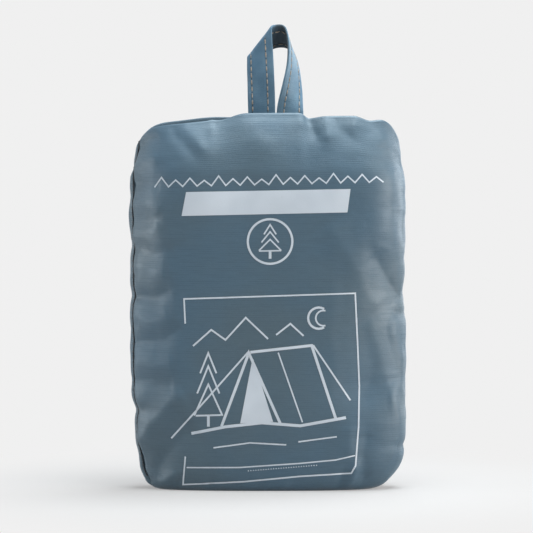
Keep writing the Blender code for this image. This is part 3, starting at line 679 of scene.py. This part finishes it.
def makeSeamStitchesAndShadeCord(name, frontLine, backLine, side):
    # a dark cord lies in the groove between the panels as painted shade, and short stitches of dark thread
    # cross it
    random.seed(11 + side)
    bm = bmesh.new()
    out = Vector((side * seamStitch["out"][0], seamStitch["out"][1], 0.0))
    layX, layY = seamStitch["lay"]
    middles = [(near + far) / 2 + out * seamStitch["rise"] for near, far in zip(frontLine, backLine)
               if seamStitch["start"] < near.z < seamStitch["stop"]]
    climbed, nextAt = 0.0, 0.0
    for near, far in zip(middles, middles[1:]):
        # the cord: a dark tube standing in for the groove's shade
        if far.z - near.z > 1e-5:
            addStitch(bm, near.lerp(far, -0.2), near.lerp(far, 1.2), out, *[seamStitch["cord"]] * 2)
        climbed += (far - near).length
        if climbed < nextAt:
            continue
        nextAt = climbed + seamStitch["pitch"] * random.uniform(0.92, 1.08)
        half = Vector((layX * side, layY, random.uniform(-0.08, 0.08))) * seamStitch["span"]
        middle = near + out * seamStitch["over"]
        addStitch(bm, middle - half, middle + half, out, seamStitch["wide"], seamStitch["high"])
    makePiece(name, bm, seamThreadAndShade, "pouch", recalc=False)


makeSeamStitchesAndShadeCord("leftSeamStitches", seamLine(frontCells, 0), seamLine(backCells, pouch["columns"]), -1)
makeSeamStitchesAndShadeCord("rightSeamStitches", seamLine(frontCells, pouch["columns"]), seamLine(backCells, 0), 1)
print("seam stitches made")


# The bound edges inside the seams

overlock = {"width": 0.0078, "wall": 0.0008, "lift": 0.0015, "low": 0.0045, "high": 0.189, "wide": 5}
overlockThread = clothPaint("overlockThread", dict(
    tapeLook, dark=(0.020, 0.030, 0.040), light=(0.034, 0.048, 0.060), thread=0.0016, rib=1.0,
    weaveDepth=0.00012, groove=(0.008, 0.012, 0.016)))


def makeOverlock(node, columns):
    # a strip inside the back panel, over its columns nearest the seam
    rows = [row for row in sorted({row for _, row in backCells})
            if overlock["low"] < backCells[columns[0], row].z < overlock["high"]]

    def placeAt(step, index):
        share = step / overlock["wide"]
        point = backCells[columns[0], rows[index]].lerp(backCells[columns[1], rows[index]], share)
        inward = Vector((-point.x, -point.y * 3, 0.0)).normalized()
        ripple = 0.00025 * math.sin(point.z / milli * 1.3 + 2 * share)
        return point + inward * (overlock["lift"] + ripple), (share * overlock["width"], point.z)

    bm = clothGrid(overlock["wide"], len(rows) - 1, placeAt)
    piece = makePiece(pieceName(node), bm, overlockThread, "pouch", (node,))
    thicken(piece, overlock["wall"], 0.0)


def makeBottomOverlock(wide=60, deep=6):
    low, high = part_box("bottom_seam_overlock")
    size, middle = high - low, (low + high) / 2

    def placeAt(column, row):
        x, y = (column / wide - 0.5) * size.x, (row / deep - 0.5) * size.y
        place = middle + Vector((x, y + 0.0004 * math.sin(x * 140), 0.0002 * math.sin(x * 400)))
        return place, (place.y, place.x)

    bm = clothGrid(wide, deep, placeAt)
    piece = makePiece("bottomSeamOverlock", bm, overlockThread, "pouch", ("bottom_seam_overlock",))
    thicken(piece, overlock["wall"], 0.0)


makeOverlock("left_seam_overlock", (pouch["columns"] - 1, pouch["columns"] - 6))
makeOverlock("right_seam_overlock", (1, 6))
makeBottomOverlock()


# The carry loop: one stitched strip, sewn inside the back rim with both ends

loop = {
    "hinge": (0.0006, 0.01518, 0.20294), "below": 0.0012, "above": 0.0028, "width": 0.0150, "thick": 0.0012,
    "around": 20, "perSpan": 9,
    # outer and inner edge, in millimetres from the hinge: up, folded back on a slant, over, and down again
    "edges": (
        ((-11.1, 0.0, -17.5), (3.9, 0.0, -17.5)), ((-11.1, 0.0, -9.0), (3.9, 0.0, -9.0)),
        ((-11.1, 0.0, 0.0), (3.9, 0.0, 0.0)), ((-11.3, 0.1, 8.0), (3.7, -0.3, 12.0)),
        ((-11.5, 0.3, 17.0), (3.1, -1.2, 27.0)), ((-11.7, 0.6, 25.5), (2.3, -2.3, 40.5)),
        ((-11.7, 0.9, 30.0), (2.0, -2.7, 46.5)), ((-11.6, 1.2, 31.8), (1.9, -2.8, 48.7)),
        ((-11.3, 2.0, 32.5), (2.3, -2.3, 49.8)), ((-10.5, 2.9, 32.6), (3.0, -1.9, 50.3)),
        ((-7.5, 3.9, 33.0), (3.9, -1.8, 50.5)), ((-2.5, 5.6, 34.8), (5.0, -1.8, 50.6)),
        ((3.5, 7.4, 37.8), (6.4, -1.8, 50.6)), ((8.5, 8.0, 38.3), (8.0, -1.9, 50.2)),
        ((11.8, 8.2, 37.0), (9.3, -2.2, 48.6)), ((14.3, 8.3, 33.9), (10.4, -2.8, 44.5)),
        ((16.0, 8.4, 30.0), (11.0, -3.3, 37.5)), ((17.4, 7.9, 23.5), (10.3, -3.6, 28.5)),
        ((18.6, 5.6, 14.5), (8.0, -3.1, 18.5)), ((19.2, 1.6, 5.5), (5.3, -0.9, 8.0)),
        ((19.4, 0.0, 0.0), (4.4, 0.0, 0.0)), ((19.4, 0.0, -9.0), (4.4, 0.0, -9.0)),
        ((19.4, 0.0, -17.5), (4.4, 0.0, -17.5)),
    ),
    "rows": (-0.0050, 0.0035), "stitchLong": 0.0029, "stitchGap": 0.0006, "trailStep": 0.0002,
    "trailFrom": 0.005,
    "hollow": (0.058, 0.066, 0.086, 0.100),     # where the painted shade inside the arch starts to darken the strip, is darkest, and ends
}
hinge = Vector(loop["hinge"])


def loopCurve():
    # smooth lines through both edges: length, middle and the way across, whose size is 1 where it is square
    edges = [(Vector(a) * milli, Vector(b) * milli) for a, b in loop["edges"]]

    def at(side, index, share):
        a, b, c, d = (edges[max(0, min(len(edges) - 1, index + i))][side] for i in (-1, 0, 1, 2))
        return 0.5 * (2 * b + (c - a) * share + (2 * a - 5 * b + 4 * c - d) * share ** 2
                      + (3 * b - a - 3 * c + d) * share ** 3)

    places = [(i, k / loop["perSpan"]) for i in range(len(edges) - 1) for k in range(loop["perSpan"])]
    pairs = [(at(0, *place), at(1, *place)) for place in places] + [edges[-1]]
    curve, run = [], 0.0
    for near, far in pairs:
        middle = hinge + (near + far) / 2
        if curve:
            run += (middle - curve[-1][1]).length
        curve.append((run, middle, (far - near) / loop["width"]))
    return curve


def onLoop(curve, run, across, out):
    # a point of the strip by length, place across and height over its middle surface, and the way it faces
    runs = [spot[0] for spot in curve]

    def spot(length):
        last = max(1, min(len(runs) - 1, bisect.bisect_left(runs, length)))
        (a, near, nearWay), (b, far, farWay) = curve[last - 1], curve[last]
        share = (length - a) / max(b - a, 1e-9)
        way = nearWay.lerp(farWay, share)
        return near.lerp(far, share) + way * across, way

    (before, _), (place, way), (after, _) = spot(run - 0.0003), spot(run), spot(run + 0.0003)
    face = (after - before).cross(way).normalized()
    buckle = 0.00018 * math.sin(run * 260 + across * 300) * ease(0.02, 0.04, run) * (1 - ease(0.05, 0.06, run))
    return place + face * (out + buckle), face


def loopHeight(across):
    # half thickness over the section: full folded edges, drawn down at the stitch rows
    side = min(1.0, abs(across) / (loop["width"] / 2))
    edge = math.sqrt(max(0.0, 1 - max(0.0, (side - 0.93) / 0.07) ** 2))
    row = min(abs(across - row) for row in loop["rows"]) / 0.0007
    return loop["thick"] / 2 * edge * (1 - 0.25 * math.exp(-row * row) + 0.10 * ease(0.7, 0.9, side))


def makeLoop():
    curve = loopCurve()
    around = loop["around"]
    opens, deep, deepEnd, closes = loop["hollow"]

    def placeAt(step, index):
        run = curve[index][0]
        outer = step <= around
        turn = step if outer else 2 * around - step
        across = math.sin(math.pi * (turn / around - 0.5)) * loop["width"] / 2
        # painted shade on the inside face of the arch, strongest in its middle
        paintedShadeShare = ease(opens, deep, run) * (1 - ease(deepEnd, closes, run)) if outer else 0.0
        place, _ = onLoop(curve, run, across, (1 if outer else -1) * loopHeight(across))
        return place, (step / around * loop["width"], run), (0.88 * paintedShadeShare, 0.0)

    bm = clothGrid(2 * around, len(curve) - 1, placeAt, "hollow")
    bmesh.ops.remove_doubles(bm, verts=bm.verts, dist=0.00001)
    bmesh.ops.holes_fill(bm, edges=[e for e in bm.edges if e.is_boundary], sides=0)
    strip = makePiece("carryLoop", bm, stripCloth, None,
                      ("carry_loop", "loop_end_left", "loop_end_right"))
    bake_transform(strip)
    random.seed(5)
    threads, holeShades = bmesh.new(), bmesh.new()
    for across in loop["rows"]:
        for side in (-1, 1):
            sewRow(curve, across, side, threads, holeShades)
    for name, bm, thread in (("Stitches", threads, topThread), ("NeedleHoleShade", holeShades, seamThreadAndShade)):
        piece = makePiece("carryLoop" + name, bm, thread, None, recalc=False)
        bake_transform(piece)


def sewRow(curve, across, side, threads, holeShades):
    # stitches and, between them, dark marks painted as the shade in the needle holes, evenly spaced along their
    # own row
    high = side * (loopHeight(across) + 0.00008)
    step, first = loop["trailStep"], loop["trailFrom"]
    trail = [onLoop(curve, first + step * i, across, high)
             for i in range(int((curve[-1][0] - 2 * first) / step))]
    start, walked, hole = trail[0], 0.0, side < 0
    for (near, _), (far, face) in zip(trail, trail[1:]):
        walked += (far - near).length
        if walked < (loop["stitchGap"] if hole else loop["stitchLong"]):
            continue
        if hole:
            # a dark mark painted as the needle hole's shade
            addStitch(holeShades, start[0], far, face * side, 0.00055, 0.00030)
        else:
            wobble = Vector((random.uniform(-0.0001, 0.0001), 0.0, random.uniform(-0.0001, 0.0001)))
            addStitch(threads, start[0], far + wobble, face * side, 0.00075, 0.00060)
        start, walked, hole = (far, face), 0.0, not hole


makeLoop()
print("carry loop made")


# The organizer: u runs down the opened sheet and v along it, folded in four both ways

sheet = {
    "width": 0.650, "height": 0.450, "layer": 0.0006, "midLayer": 4, "pitch": 0.0054, "clear": 0.00015,
    "walls": {"cloth": 0.00024, "tape": 0.00042, "elastic": 0.00045, "mesh": 0.0003},
    # which of the stack's nine layers each sheet takes, leaf by leaf
    "backing": (0, 3, 4, 8), "pockets": (1, 2, 5, 7), "stash": (6, 6, 6, 6), "headings": (-1, 1, -1, 1),
    "edgeTape": 0.010, "rowTape": 0.012, "divider": 0.010, "elastic": 0.006, "mouthDrop": 0.022,
    "stashDepth": 0.085, "gap": 0.0003, "strapSewn": 0.012, "floor": 0.0024, "step": 0.0055, "bend": 8,
}
sheet["radii"] = [(b - a) * sheet["layer"] / 2 for a, b in zip(sheet["backing"], sheet["backing"][1:])]
sheet["leaf"] = (sheet["height"] - math.pi * sum(sheet["radii"])) / 4
sheet["turn"] = math.pi * sheet["pitch"] / 2
sheet["run"] = (sheet["width"] - 3 * sheet["turn"]) / 4
sheet["lowTurn"] = sheet["floor"] + sheet["pitch"] - sheet["clear"]
sheet["highTurn"] = sheet["lowTurn"] + sheet["run"]


def acrossStack(u, layers):
    # place across the bundle and through the stack, for a height of the opened sheet
    start = 0.0
    for leaf in range(4):
        heading = 1 if leaf % 2 == 0 else -1
        level = (layers[leaf] - sheet["midLayer"]) * sheet["layer"]
        if u <= start + sheet["leaf"] + 1e-7 or leaf == 3:
            return heading * (u - start - sheet["leaf"] / 2), level
        start += sheet["leaf"]
        length = math.pi * sheet["radii"][leaf]
        if u < start + length:
            following = (layers[leaf + 1] - sheet["midLayer"]) * sheet["layer"]
            angle = math.pi * (u - start) / length
            radius = (following - level) / 2
            return (heading * (sheet["leaf"] / 2 + radius * math.sin(angle)),
                    (level + following) / 2 - radius * math.cos(angle))
        start += length


def alongRuns(v):
    # depth, height and stack direction, for a place along the opened sheet
    for run, heading in enumerate(sheet["headings"]):
        y = (run - 1.5) * sheet["pitch"]
        start = run * (sheet["run"] + sheet["turn"])
        if v <= start + sheet["run"] or run == 3:
            z = sheet["highTurn"] - (v - start) if heading < 0 else sheet["lowTurn"] + (v - start)
            return y, z, -heading, 0.0
        if v < start + sheet["run"] + sheet["turn"]:
            angle = math.pi * (v - start - sheet["run"]) / sheet["turn"]
            out, rise = -math.cos(angle), heading * math.sin(angle)
            turnZ = sheet["lowTurn"] if heading < 0 else sheet["highTurn"]
            radius = sheet["pitch"] / 2
            return y + radius * (1 + out), turnZ + radius * rise, heading * out, heading * rise


def onSheet(u, v, layers):
    x, n = acrossStack(u, layers)
    y, z, normalY, normalZ = alongRuns(v)
    place = Vector((x, y + n * normalY, z + n * normalZ))
    # one soft wave for the whole bundle, so that no layer meets another; none where the straps are sewn
    loose = 1 - ease(0.150, 0.166, place.z)
    wave = 0.0007 * noise.noise(Vector((place.x * 40, 1.7, place.z * 26)))
    wave += 0.0004 * math.sin(place.x * 95 + place.z * 30)
    place.y += wave * loose
    side = 0.0009 * noise.noise(Vector((4.2, place.y * 60, place.z * 22))) * ease(0.03, 0.05, abs(place.x))
    place.x += side * loose
    return place


def stops(start, end, bends):
    # steps between two places, closer together where the cloth turns
    marks = [start, end]
    for low, high in bends:
        marks += [m for m in (low, high) if start < m < end]
    marks = sorted(marks)
    found = [start]
    for low, high in zip(marks, marks[1:]):
        turning = any(a - 1e-6 <= low and high <= b + 1e-6 for a, b in bends)
        count = sheet["bend"] if turning else max(1, round((high - low) / sheet["step"]))
        found += [low + (high - low) * i / count for i in range(1, count + 1)]
    return found


def foldBends():
    start, bends = 0.0, []
    for radius in sheet["radii"]:
        start += sheet["leaf"]
        bends.append((start, start + math.pi * radius))
        start += math.pi * radius
    return bends


turnBends = [(run * (sheet["run"] + sheet["turn"]) + sheet["run"], (run + 1) * (sheet["run"] + sheet["turn"]))
             for run in range(3)]


slotCloth = {"cloth": innerCloth, "tape": tapeCloth, "elastic": elasticCloth, "mesh": pocketMesh}


def makeCloth(node, layers, uRange, vRange, slot):
    uStops, vStops = stops(*uRange, foldBends()), stops(*vRange, turnBends)

    def placeAt(column, row):
        u, v = uStops[column], vStops[row]
        return onSheet(u, v, layers), (v, u)

    bm = clothGrid(len(uStops) - 1, len(vStops) - 1, placeAt)
    piece = makePiece(pieceName(node), bm, slotCloth[slot], "organizer", (node,), recalc=False)
    thicken(piece, sheet["walls"][slot], 0.0)
    return piece


def makeOrganizer():
    width, height, gap = sheet["width"], sheet["height"], sheet["gap"]
    backing = makeCloth("organizer_backing", sheet["backing"], (0, height), (0, width), "cloth")
    side = sheet["edgeTape"] + gap
    middle, row, strip = height / 2, sheet["rowTape"] / 2 + gap, sheet["divider"] / 2

    def tape(node, uRange, vRange):
        makeCloth(node, sheet["pockets"], uRange, vRange, "tape")

    ends = (sheet["strapSewn"] + gap, width - sheet["strapSewn"] - gap)
    tape("top_edge_tape", (0, sheet["edgeTape"]), ends)
    tape("bottom_edge_tape", (height - sheet["edgeTape"], height), ends)
    tape("left_edge_tape", (side, height - side), (0, sheet["edgeTape"]))
    tape("right_edge_tape", (side, height - side), (width - sheet["edgeTape"], width))
    tape("row_tape", (middle - sheet["rowTape"] / 2, middle + sheet["rowTape"] / 2), (side, width - side))
    rows = {"upper": (side, middle - row), "lower": (middle + row, height - side)}
    third = width / 3
    edges = [side, third - strip, third + strip, 2 * third - strip, 2 * third + strip, width - side]
    for level, (top, low) in rows.items():
        for index, where in enumerate(("left", "right")):
            tape(f"{level}_{where}_divider", (top, low), edges[1 + 2 * index:3 + 2 * index])
        for index, where in enumerate(("left", "centre", "right")):
            span = (edges[2 * index] + (gap if index else 0), edges[2 * index + 1] - (gap if index < 2 else 0))
            mouth = top + sheet["mouthDrop"]
            node = f"{level}_{where}_pocket"
            binding = makeCloth(node + "_elastic", sheet["pockets"], (mouth, mouth + sheet["elastic"]), span,
                                "elastic")
            pocketU = (mouth + sheet["elastic"] + gap, low)
            pocket = makeCloth(node, sheet["pockets"], pocketU, span, "mesh")
            span[1] - span[0]
            pocketU[1] - pocketU[0]
    low = rows["lower"][1]
    stash = makeCloth("stash_pocket", sheet["stash"], (low - sheet["stashDepth"], low),
                      (edges[4] + gap, edges[5]), "cloth")
    edges[5] - edges[4] - gap


makeOrganizer()
print("organizer made")


# The corner straps, mitred and sewn round the hooks' bars

strap = {"width": 0.008, "thick": 0.0004, "reach": 0.006, "back": 0.0045, "bar": 0.0016, "hookWidth": 0.011,
         "inset": 0.001, "fit": 0.0003, "fine": 12}
strap["turn"] = strap["bar"] / 2 * math.sqrt(2) + strap["fit"] + strap["thick"] / 2
strap["shift"] = strap["thick"] + strap["fit"]
strap["x"] = -sheet["leaf"] / 2 + strap["inset"] + strap["width"] / 2
strap["hookZ"] = sheet["highTurn"] + sheet["pitch"] - sheet["clear"] + strap["fit"] + strap["hookWidth"] / 2
strap["hookX"] = strap["x"] + strap["width"] / 2 + strap["reach"]


def strapPath(run, leaf):
    # the strap's two edges and thickness direction, ring by ring
    side = -1 if (run == 0) == (leaf == 0) else 1
    normal = -sheet["headings"][run]
    layer = sheet["pockets"][leaf] - sheet["midLayer"]
    layerY = (run - 1.5) * sheet["pitch"] + normal * layer * sheet["layer"]
    half = strap["width"] / 2
    low, high = strap["hookZ"] - half, strap["hookZ"] + half
    left, right = strap["x"] - half, strap["x"] + half
    shift = strap["shift"] / 2
    cross = Vector((-1.0, 0.0, 1.0)).normalized()
    out = Vector((0.0, side, 0.0))
    path = []

    def ring(start, end, offset, over):
        path.append((Vector(start) + offset, Vector(end) + offset, over.normalized()))

    base = Vector((0.0, layerY, 0.0))
    foot = sheet["highTurn"] - sheet["strapSewn"]
    for step in range(4):
        z = foot + (low - foot) * step / 4
        ring((left, 0, z), (right, 0, z + (high - low) * ease(0.3, 1.0, step / 4)), base, -out)
    for step in range(9):
        angle = math.pi * step / 8
        swing = out * math.cos(angle) + cross * math.sin(angle)
        ring((left, 0, low), (right, 0, high), base - out * shift + swing * shift, -swing)
    flatY = layerY - side * strap["shift"]
    for step in range(1, 4):
        share = step / 4
        x = right + (strap["hookX"] - right) * share
        sag = 0.00008 * math.sin(math.pi * share) * side
        inner = left + (x - left) * ease(0.0, 0.9, share)
        ring((inner, flatY + sag, low), (x, flatY + sag, high), Vector(), out)
    hookY = flatY + side * strap["turn"]
    barX = strap["hookX"] + strap["bar"] / 2
    for step in range(strap["fine"] + 1):
        angle = math.pi * step / strap["fine"]
        swing = Vector((math.sin(angle), -side * math.cos(angle), 0.0))
        ring((0, 0, low), (0, 0, high), Vector((barX, hookY, 0)) + swing * strap["turn"], -swing)
    backY = flatY + side * strap["shift"]
    for step in range(1, 5):
        x = strap["hookX"] - strap["back"] * step / 4
        ring((0, 0, low), (0, 0, high), Vector((x, backY, 0)), -out)
    return path


webbing = clothPaint("hookWebbing", dict(tapeLook, dark=(0.040, 0.046, 0.053), light=(0.055, 0.062, 0.070),
                                         thread=0.0008, rib=0.5, weaveDepth=0.0001))
hookPlastic = plasticPaint()


def makeStrap(node, run, leaf, wide=6):
    path = strapPath(run, leaf)
    lengths = [0.0]
    for (a, b, _), (c, d, _) in zip(path, path[1:]):
        lengths.append(lengths[-1] + ((c + d) - (a + b)).length / 2)

    def placeAt(column, row):
        share = column / wide
        near, far, over = path[row]
        crown = 0.00002 * math.cos((1 - abs(2 * share - 1)) * math.pi)
        return near.lerp(far, share) + over * crown, (share * strap["width"], lengths[row])

    bm = clothGrid(wide, len(path) - 1, placeAt)
    piece = makePiece(pieceName(node), bm, webbing, "organizer", (node,), recalc=False)
    thicken(piece, strap["thick"], 0.0)
    # a box stitch through both layers behind the hook
    bm = bmesh.new()
    for across in (0.15, 0.85):
        for (near, far, over), (nextNear, nextFar, _) in zip(path[-4:-1], path[-3:]):
            start, end = near.lerp(far, across), nextNear.lerp(nextFar, across)
            lift = over * 0.00025
            addStitch(bm, start.lerp(end, 0.1) - lift, start.lerp(end, 0.9) - lift, over, 0.0004, 0.0003)
    makePiece(piece.name + "Stitches", bm, seamThreadAndShade, "organizer", recalc=False)


for run, across in ((0, "left"), (3, "right")):
    for leaf, level in ((0, "top"), (3, "bottom")):
        corner = f"{level}_{across}"
        makeStrap(corner + "_strap", run, leaf)
        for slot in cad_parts[corner + "_hook"].material_slots:
            slot.material = hookPlastic
print("straps and hooks made")


# The print on the front: points in pixels of the picture, widths in millimetres

printing = {"lift": 0.00016, "step": 0.8, "pixel": 0.547, "middle": 267.2, "floorLine": 487.6,
            "tightest": 0.35}


def seen(px, py):
    # from the picture's pixels to a place on the upright plane through the middle
    size = printing["pixel"] * milli
    return Vector(((px - printing["middle"]) * size, 0.0, (printing["floorLine"] - py) * size))


def layOnFront(bm, tree, lift):
    slope = math.radians(stage["elevation"])
    ray = Vector((0.0, math.cos(slope), -math.sin(slope)))
    upright = Vector((0.0, math.sin(slope), math.cos(slope)))
    for vert in bm.verts:
        start = Vector((vert.co.x, 0.0, 0.0)) + upright * vert.co.z - ray * 0.2
        vert.co = tree.ray_cast(start, ray)[0] - ray * lift


def printLine(bm, points, width, closed=False):
    # a ribbon of ink along a path, with mitred corners
    path = [seen(*point) for point in points]
    fine = []
    for near, far in zip(path, path[1:] + (path[:1] if closed else [])):
        steps = max(1, round((far - near).length / (printing["step"] * milli)))
        fine += [near.lerp(far, i / steps) for i in range(steps)]
    if not closed:
        fine.append(path[-1])
    count = len(fine)
    last = count if closed else count - 1
    bmesh.ops.create_grid(bm, x_segments=1, y_segments=last, size=1.0)
    for vert in [v for v in bm.verts if not v.tag]:
        index = round((vert.co.y + 1) / 2 * last)
        here = fine[index % count]
        ways = []
        if closed or index > 0:
            ways.append((here - fine[(index - 1) % count]).normalized())
        if closed or index < last:
            ways.append((fine[(index + 1) % count] - here).normalized())
        way = sum(ways, Vector()).normalized()
        stretch = math.copysign(width * milli / 2, vert.co.x) / max(printing["tightest"], way.dot(ways[0]))
        vert.co = here + Vector((-way.z, 0.0, way.x)) * stretch
        vert.tag = True


def printLines(bm, lines):
    for width, *points in lines:
        printLine(bm, points, width)


def printArea(bm, corners, steps):
    # a filled four-sided patch: top left, top right, bottom left, bottom right
    bmesh.ops.create_grid(bm, x_segments=steps[0], y_segments=steps[1], size=1.0)
    a, b, c, d = [seen(*corner) for corner in corners]
    for vert in [v for v in bm.verts if not v.tag]:
        u, w = (vert.co.x + 1) / 2, (1 - vert.co.y) / 2
        vert.co = a.lerp(b, u).lerp(c.lerp(d, u), w)
        vert.tag = True


def arc(cx, cy, radius, start, end, steps):
    return [(cx + radius * math.cos(math.radians(start + (end - start) * i / steps)),
             cy - radius * math.sin(math.radians(start + (end - start) * i / steps))) for i in range(steps + 1)]


def makePrint():
    tree = BVHTree.FromObject(frontPanel, bpy.context.evaluated_depsgraph_get())
    for name, draw in (("Bar", drawBar), ("Ring", drawRing), ("Frame", drawFrame), ("TitleRule", drawPeaks),
                       ("CampDrawing", drawCamp)):
        bm = bmesh.new()
        draw(bm)
        layOnFront(bm, tree, printing["lift"])
        for face in bm.faces:
            face.normal_update()
            if face.normal.y > 0:
                face.normal_flip()
        makePiece("print" + name, bm, screenInk, "pouch", recalc=False)


def drawBar(bm):
    printArea(bm, ((187.5, 193.5), (349, 190.5), (183, 217), (346, 213.5)), (60, 10))


def drawPine(bm, middle, boughs, width):
    for top, low, wide in boughs:
        printLine(bm, ((middle - wide, low), (middle, top), (middle + wide, low)), width)


def drawRing(bm):
    # a pine in a ring
    printLine(bm, arc(270, 242, 21.9, 0, 360 - 7.5, 47), 1.2, closed=True)
    printLine(bm, ((270, 259), (270, 251.2)), 1.5)
    drawPine(bm, 270, ((225.5, 235, 6.0), (232.5, 243, 8.5), (240, 251, 11.0)), 0.8)
    printLine(bm, ((259, 251.4), (281, 251.0)), 0.8)


def drawPeaks(bm, start=156, pitch=14.1, slope=0.022):
    # a plain row of peaks along the top
    points = []
    for index in range(17):
        x = start + pitch * index
        tall = (9.5, 6.5, 8.0, 5.5)[index % 4]
        points += [(x, 188.6 - slope * (x - start)), (x + 7.05, 188.6 - tall - slope * (x + 7 - start))]
    printLine(bm, points[:-1], 0.75)


def drawFrame(bm):
    printLines(bm, (
        (0.85, (186.3, 323), (185.2, 298.6), (354, 293), (356.4, 340), (358.4, 385), (357.6, 425), (354.8, 464),
         (350.5, 471.6), (300, 474.5), (245, 479.8), (183.5, 483.3), (186, 455)),
        (0.75, (187.2, 466), (240, 465.6), (300, 461.5), (335, 458.2), (354.2, 453.8))))
    for index in range(28):
        x, y = 248 + 2.5 * index, 469.0 - 0.082 * 2.5 * index
        printArea(bm, ((x, y - 0.5), (x + 1.0, y - 0.5), (x, y + 0.5), (x + 1.0, y + 0.5)), (1, 1))


def drawCamp(bm):
    # a ridge tent with guy lines on its ground, a moon, a pine, and hills
    printLines(bm, (
        (1.6, (192, 432), (226, 425), (262, 421), (300, 424), (345, 416)),
        (1.5, (222, 424.5), (249, 352), (280, 421.5)),
        (1.5, (250.5, 351.2), (311, 344.5), (335, 417.2)),
        (0.95, (248.4, 351), (207, 398), (172, 437)),
        (0.95, (312.5, 344.2), (330, 370), (349.5, 399))))
    printArea(bm, ((252.5, 358), (253.5, 358), (240.5, 421.5), (273, 420)), (12, 20))
    printLines(bm, (
        (0.8, (278, 351.5), (302, 420.5)),
        (1.2, *arc(318, 317.5, 10.5, 60, 300, 16)),
        (0.9, *arc(322.6, 317.5, 7.6, 285, 75, 12)),
        (1.5, (209, 425), (209, 414.5))))
    drawPine(bm, 209, ((352, 372, 8.0), (365, 392, 11.0), (383, 414, 14.0)), 0.95)
    printLines(bm, (
        (0.95, (196.5, 414.2), (221.5, 413.4)),
        (0.95, (194, 345), (212, 329), (226, 339), (246, 317), (268, 338)),
        (0.95, (276, 334), (290, 323), (303, 335)),
        (0.8, (214, 446), (250, 441), (286, 443)),
        (0.8, (298, 440), (336, 435))))


# Camera, floor and light

lift = math.radians(stage["elevation"])
cameraData = bpy.data.cameras.new("camera")
cameraData.sensor_width = stage["sensor"]
cameraData.lens = stage["sensor"] * stage["distance"] / stage["view"]
cameraData.clip_start = 0.05
camera = bpy.data.objects.new("camera", cameraData)
camera.location = Vector(stage["target"]) + stage["distance"] * Vector((0.0, -math.cos(lift), math.sin(lift)))
camera.rotation_euler = (math.pi / 2 - lift, 0.0, 0.0)
bpy.context.scene.collection.objects.link(camera)
bpy.context.scene.camera = camera

softboxes = (     # each aims at a point on the pouch's middle line, at this height
    {"name": "leftSoftbox", "at": (-0.95, -0.14, 0.08), "aim": 0.10, "size": (0.4, 0.7), "power": 5.7,
     "colour": (0.95, 0.98, 0.98)},
    {"name": "rightSoftbox", "at": (0.88, -0.36, 0.11), "aim": 0.11, "size": (0.56, 0.6), "power": 9.7,
     "colour": (1.0, 0.94, 0.88)},
    {"name": "topSoftbox", "at": (0.17, -0.05, 0.99), "aim": 0.1, "size": (0.8, 0.55), "power": 14.4,
     "colour": (0.85, 0.955, 1.0)},
    {"name": "backSoftbox", "at": (0.72, 0.62, 0.30), "aim": 0.11, "size": (0.7, 0.5), "power": 2.9,
     "colour": (1.0, 1.0, 1.0)},
)
for box in softboxes:
    lamp = bpy.data.lights.new(box["name"], "AREA")
    lamp.shape = "RECTANGLE"
    lamp.size, lamp.size_y = box["size"]
    lamp.energy = box["power"]
    lamp.color = box["colour"]
    holder = bpy.data.objects.new(box["name"], lamp)
    holder.location = box["at"]
    aim = Vector((0.0, 0.0, box["aim"])) - Vector(box["at"])
    holder.rotation_euler = aim.to_track_quat("-Z", "Y").to_euler()
    bpy.context.scene.collection.objects.link(holder)


def showBackdrop(paint, plainKind, share=1.0):
    # rays from the camera, mirrored, or through glass see the backdrop's plain colour
    path = paint.node("ShaderNodeLightPath", {}, {}).socket.node
    camera, mirrored, through = (Wire(paint, path.outputs[f"Is {kind} Ray"])
                                 for kind in ("Camera", "Glossy", "Transmission"))
    lit = Wire(paint, paint.shader.outputs[0])
    plain = paint.node(plainKind, {}, {"Color": (stage["backdrop"],) * 3 + (1.0,)})
    joined = paint.node("ShaderNodeMixShader", {}, {0: (camera | mirrored | through) * share, 1: lit, 2: plain})
    paint.feed(paint.out.inputs[0], joined)


bpy.context.scene.world = bpy.data.worlds.new("studio")
studio = Paint(bpy.context.scene.world, Color=(1.0, 1.0, 1.0, 1.0), Strength=stage["fill"])
showBackdrop(studio, "ShaderNodeBackground")


def makeFloor():
    bm = bmesh.new()
    bmesh.ops.create_grid(bm, x_segments=8, y_segments=8, size=4.0)
    bmesh.ops.translate(bm, vec=(0.0, 0.0, -0.0004), verts=bm.verts)
    paint = Paint(bpy.data.materials.new("floorPaper"), Roughness=0.9, Specular_IOR_Level=0.1)
    paint.set("Base Color", (*stage["floor"], 1.0))
    away = paint.node("ShaderNodeVectorMath", {"operation": "LENGTH"}, {0: paint.place()}, output=1)
    # near the pouch the floor keeps more of its own shading, so that the shadow shows
    kept = (1 - stage["glowNear"]) * (1 - away.between(*stage["glowFrom"]))
    showBackdrop(paint, "ShaderNodeEmission", 1 - kept)
    floor = makePiece("floor", bm, paint.owner, recalc=False)


makeFloor()
makePrint()
print("print laid on the front")
bpy.context.scene.view_settings.view_transform = "Standard"
print("stage made")
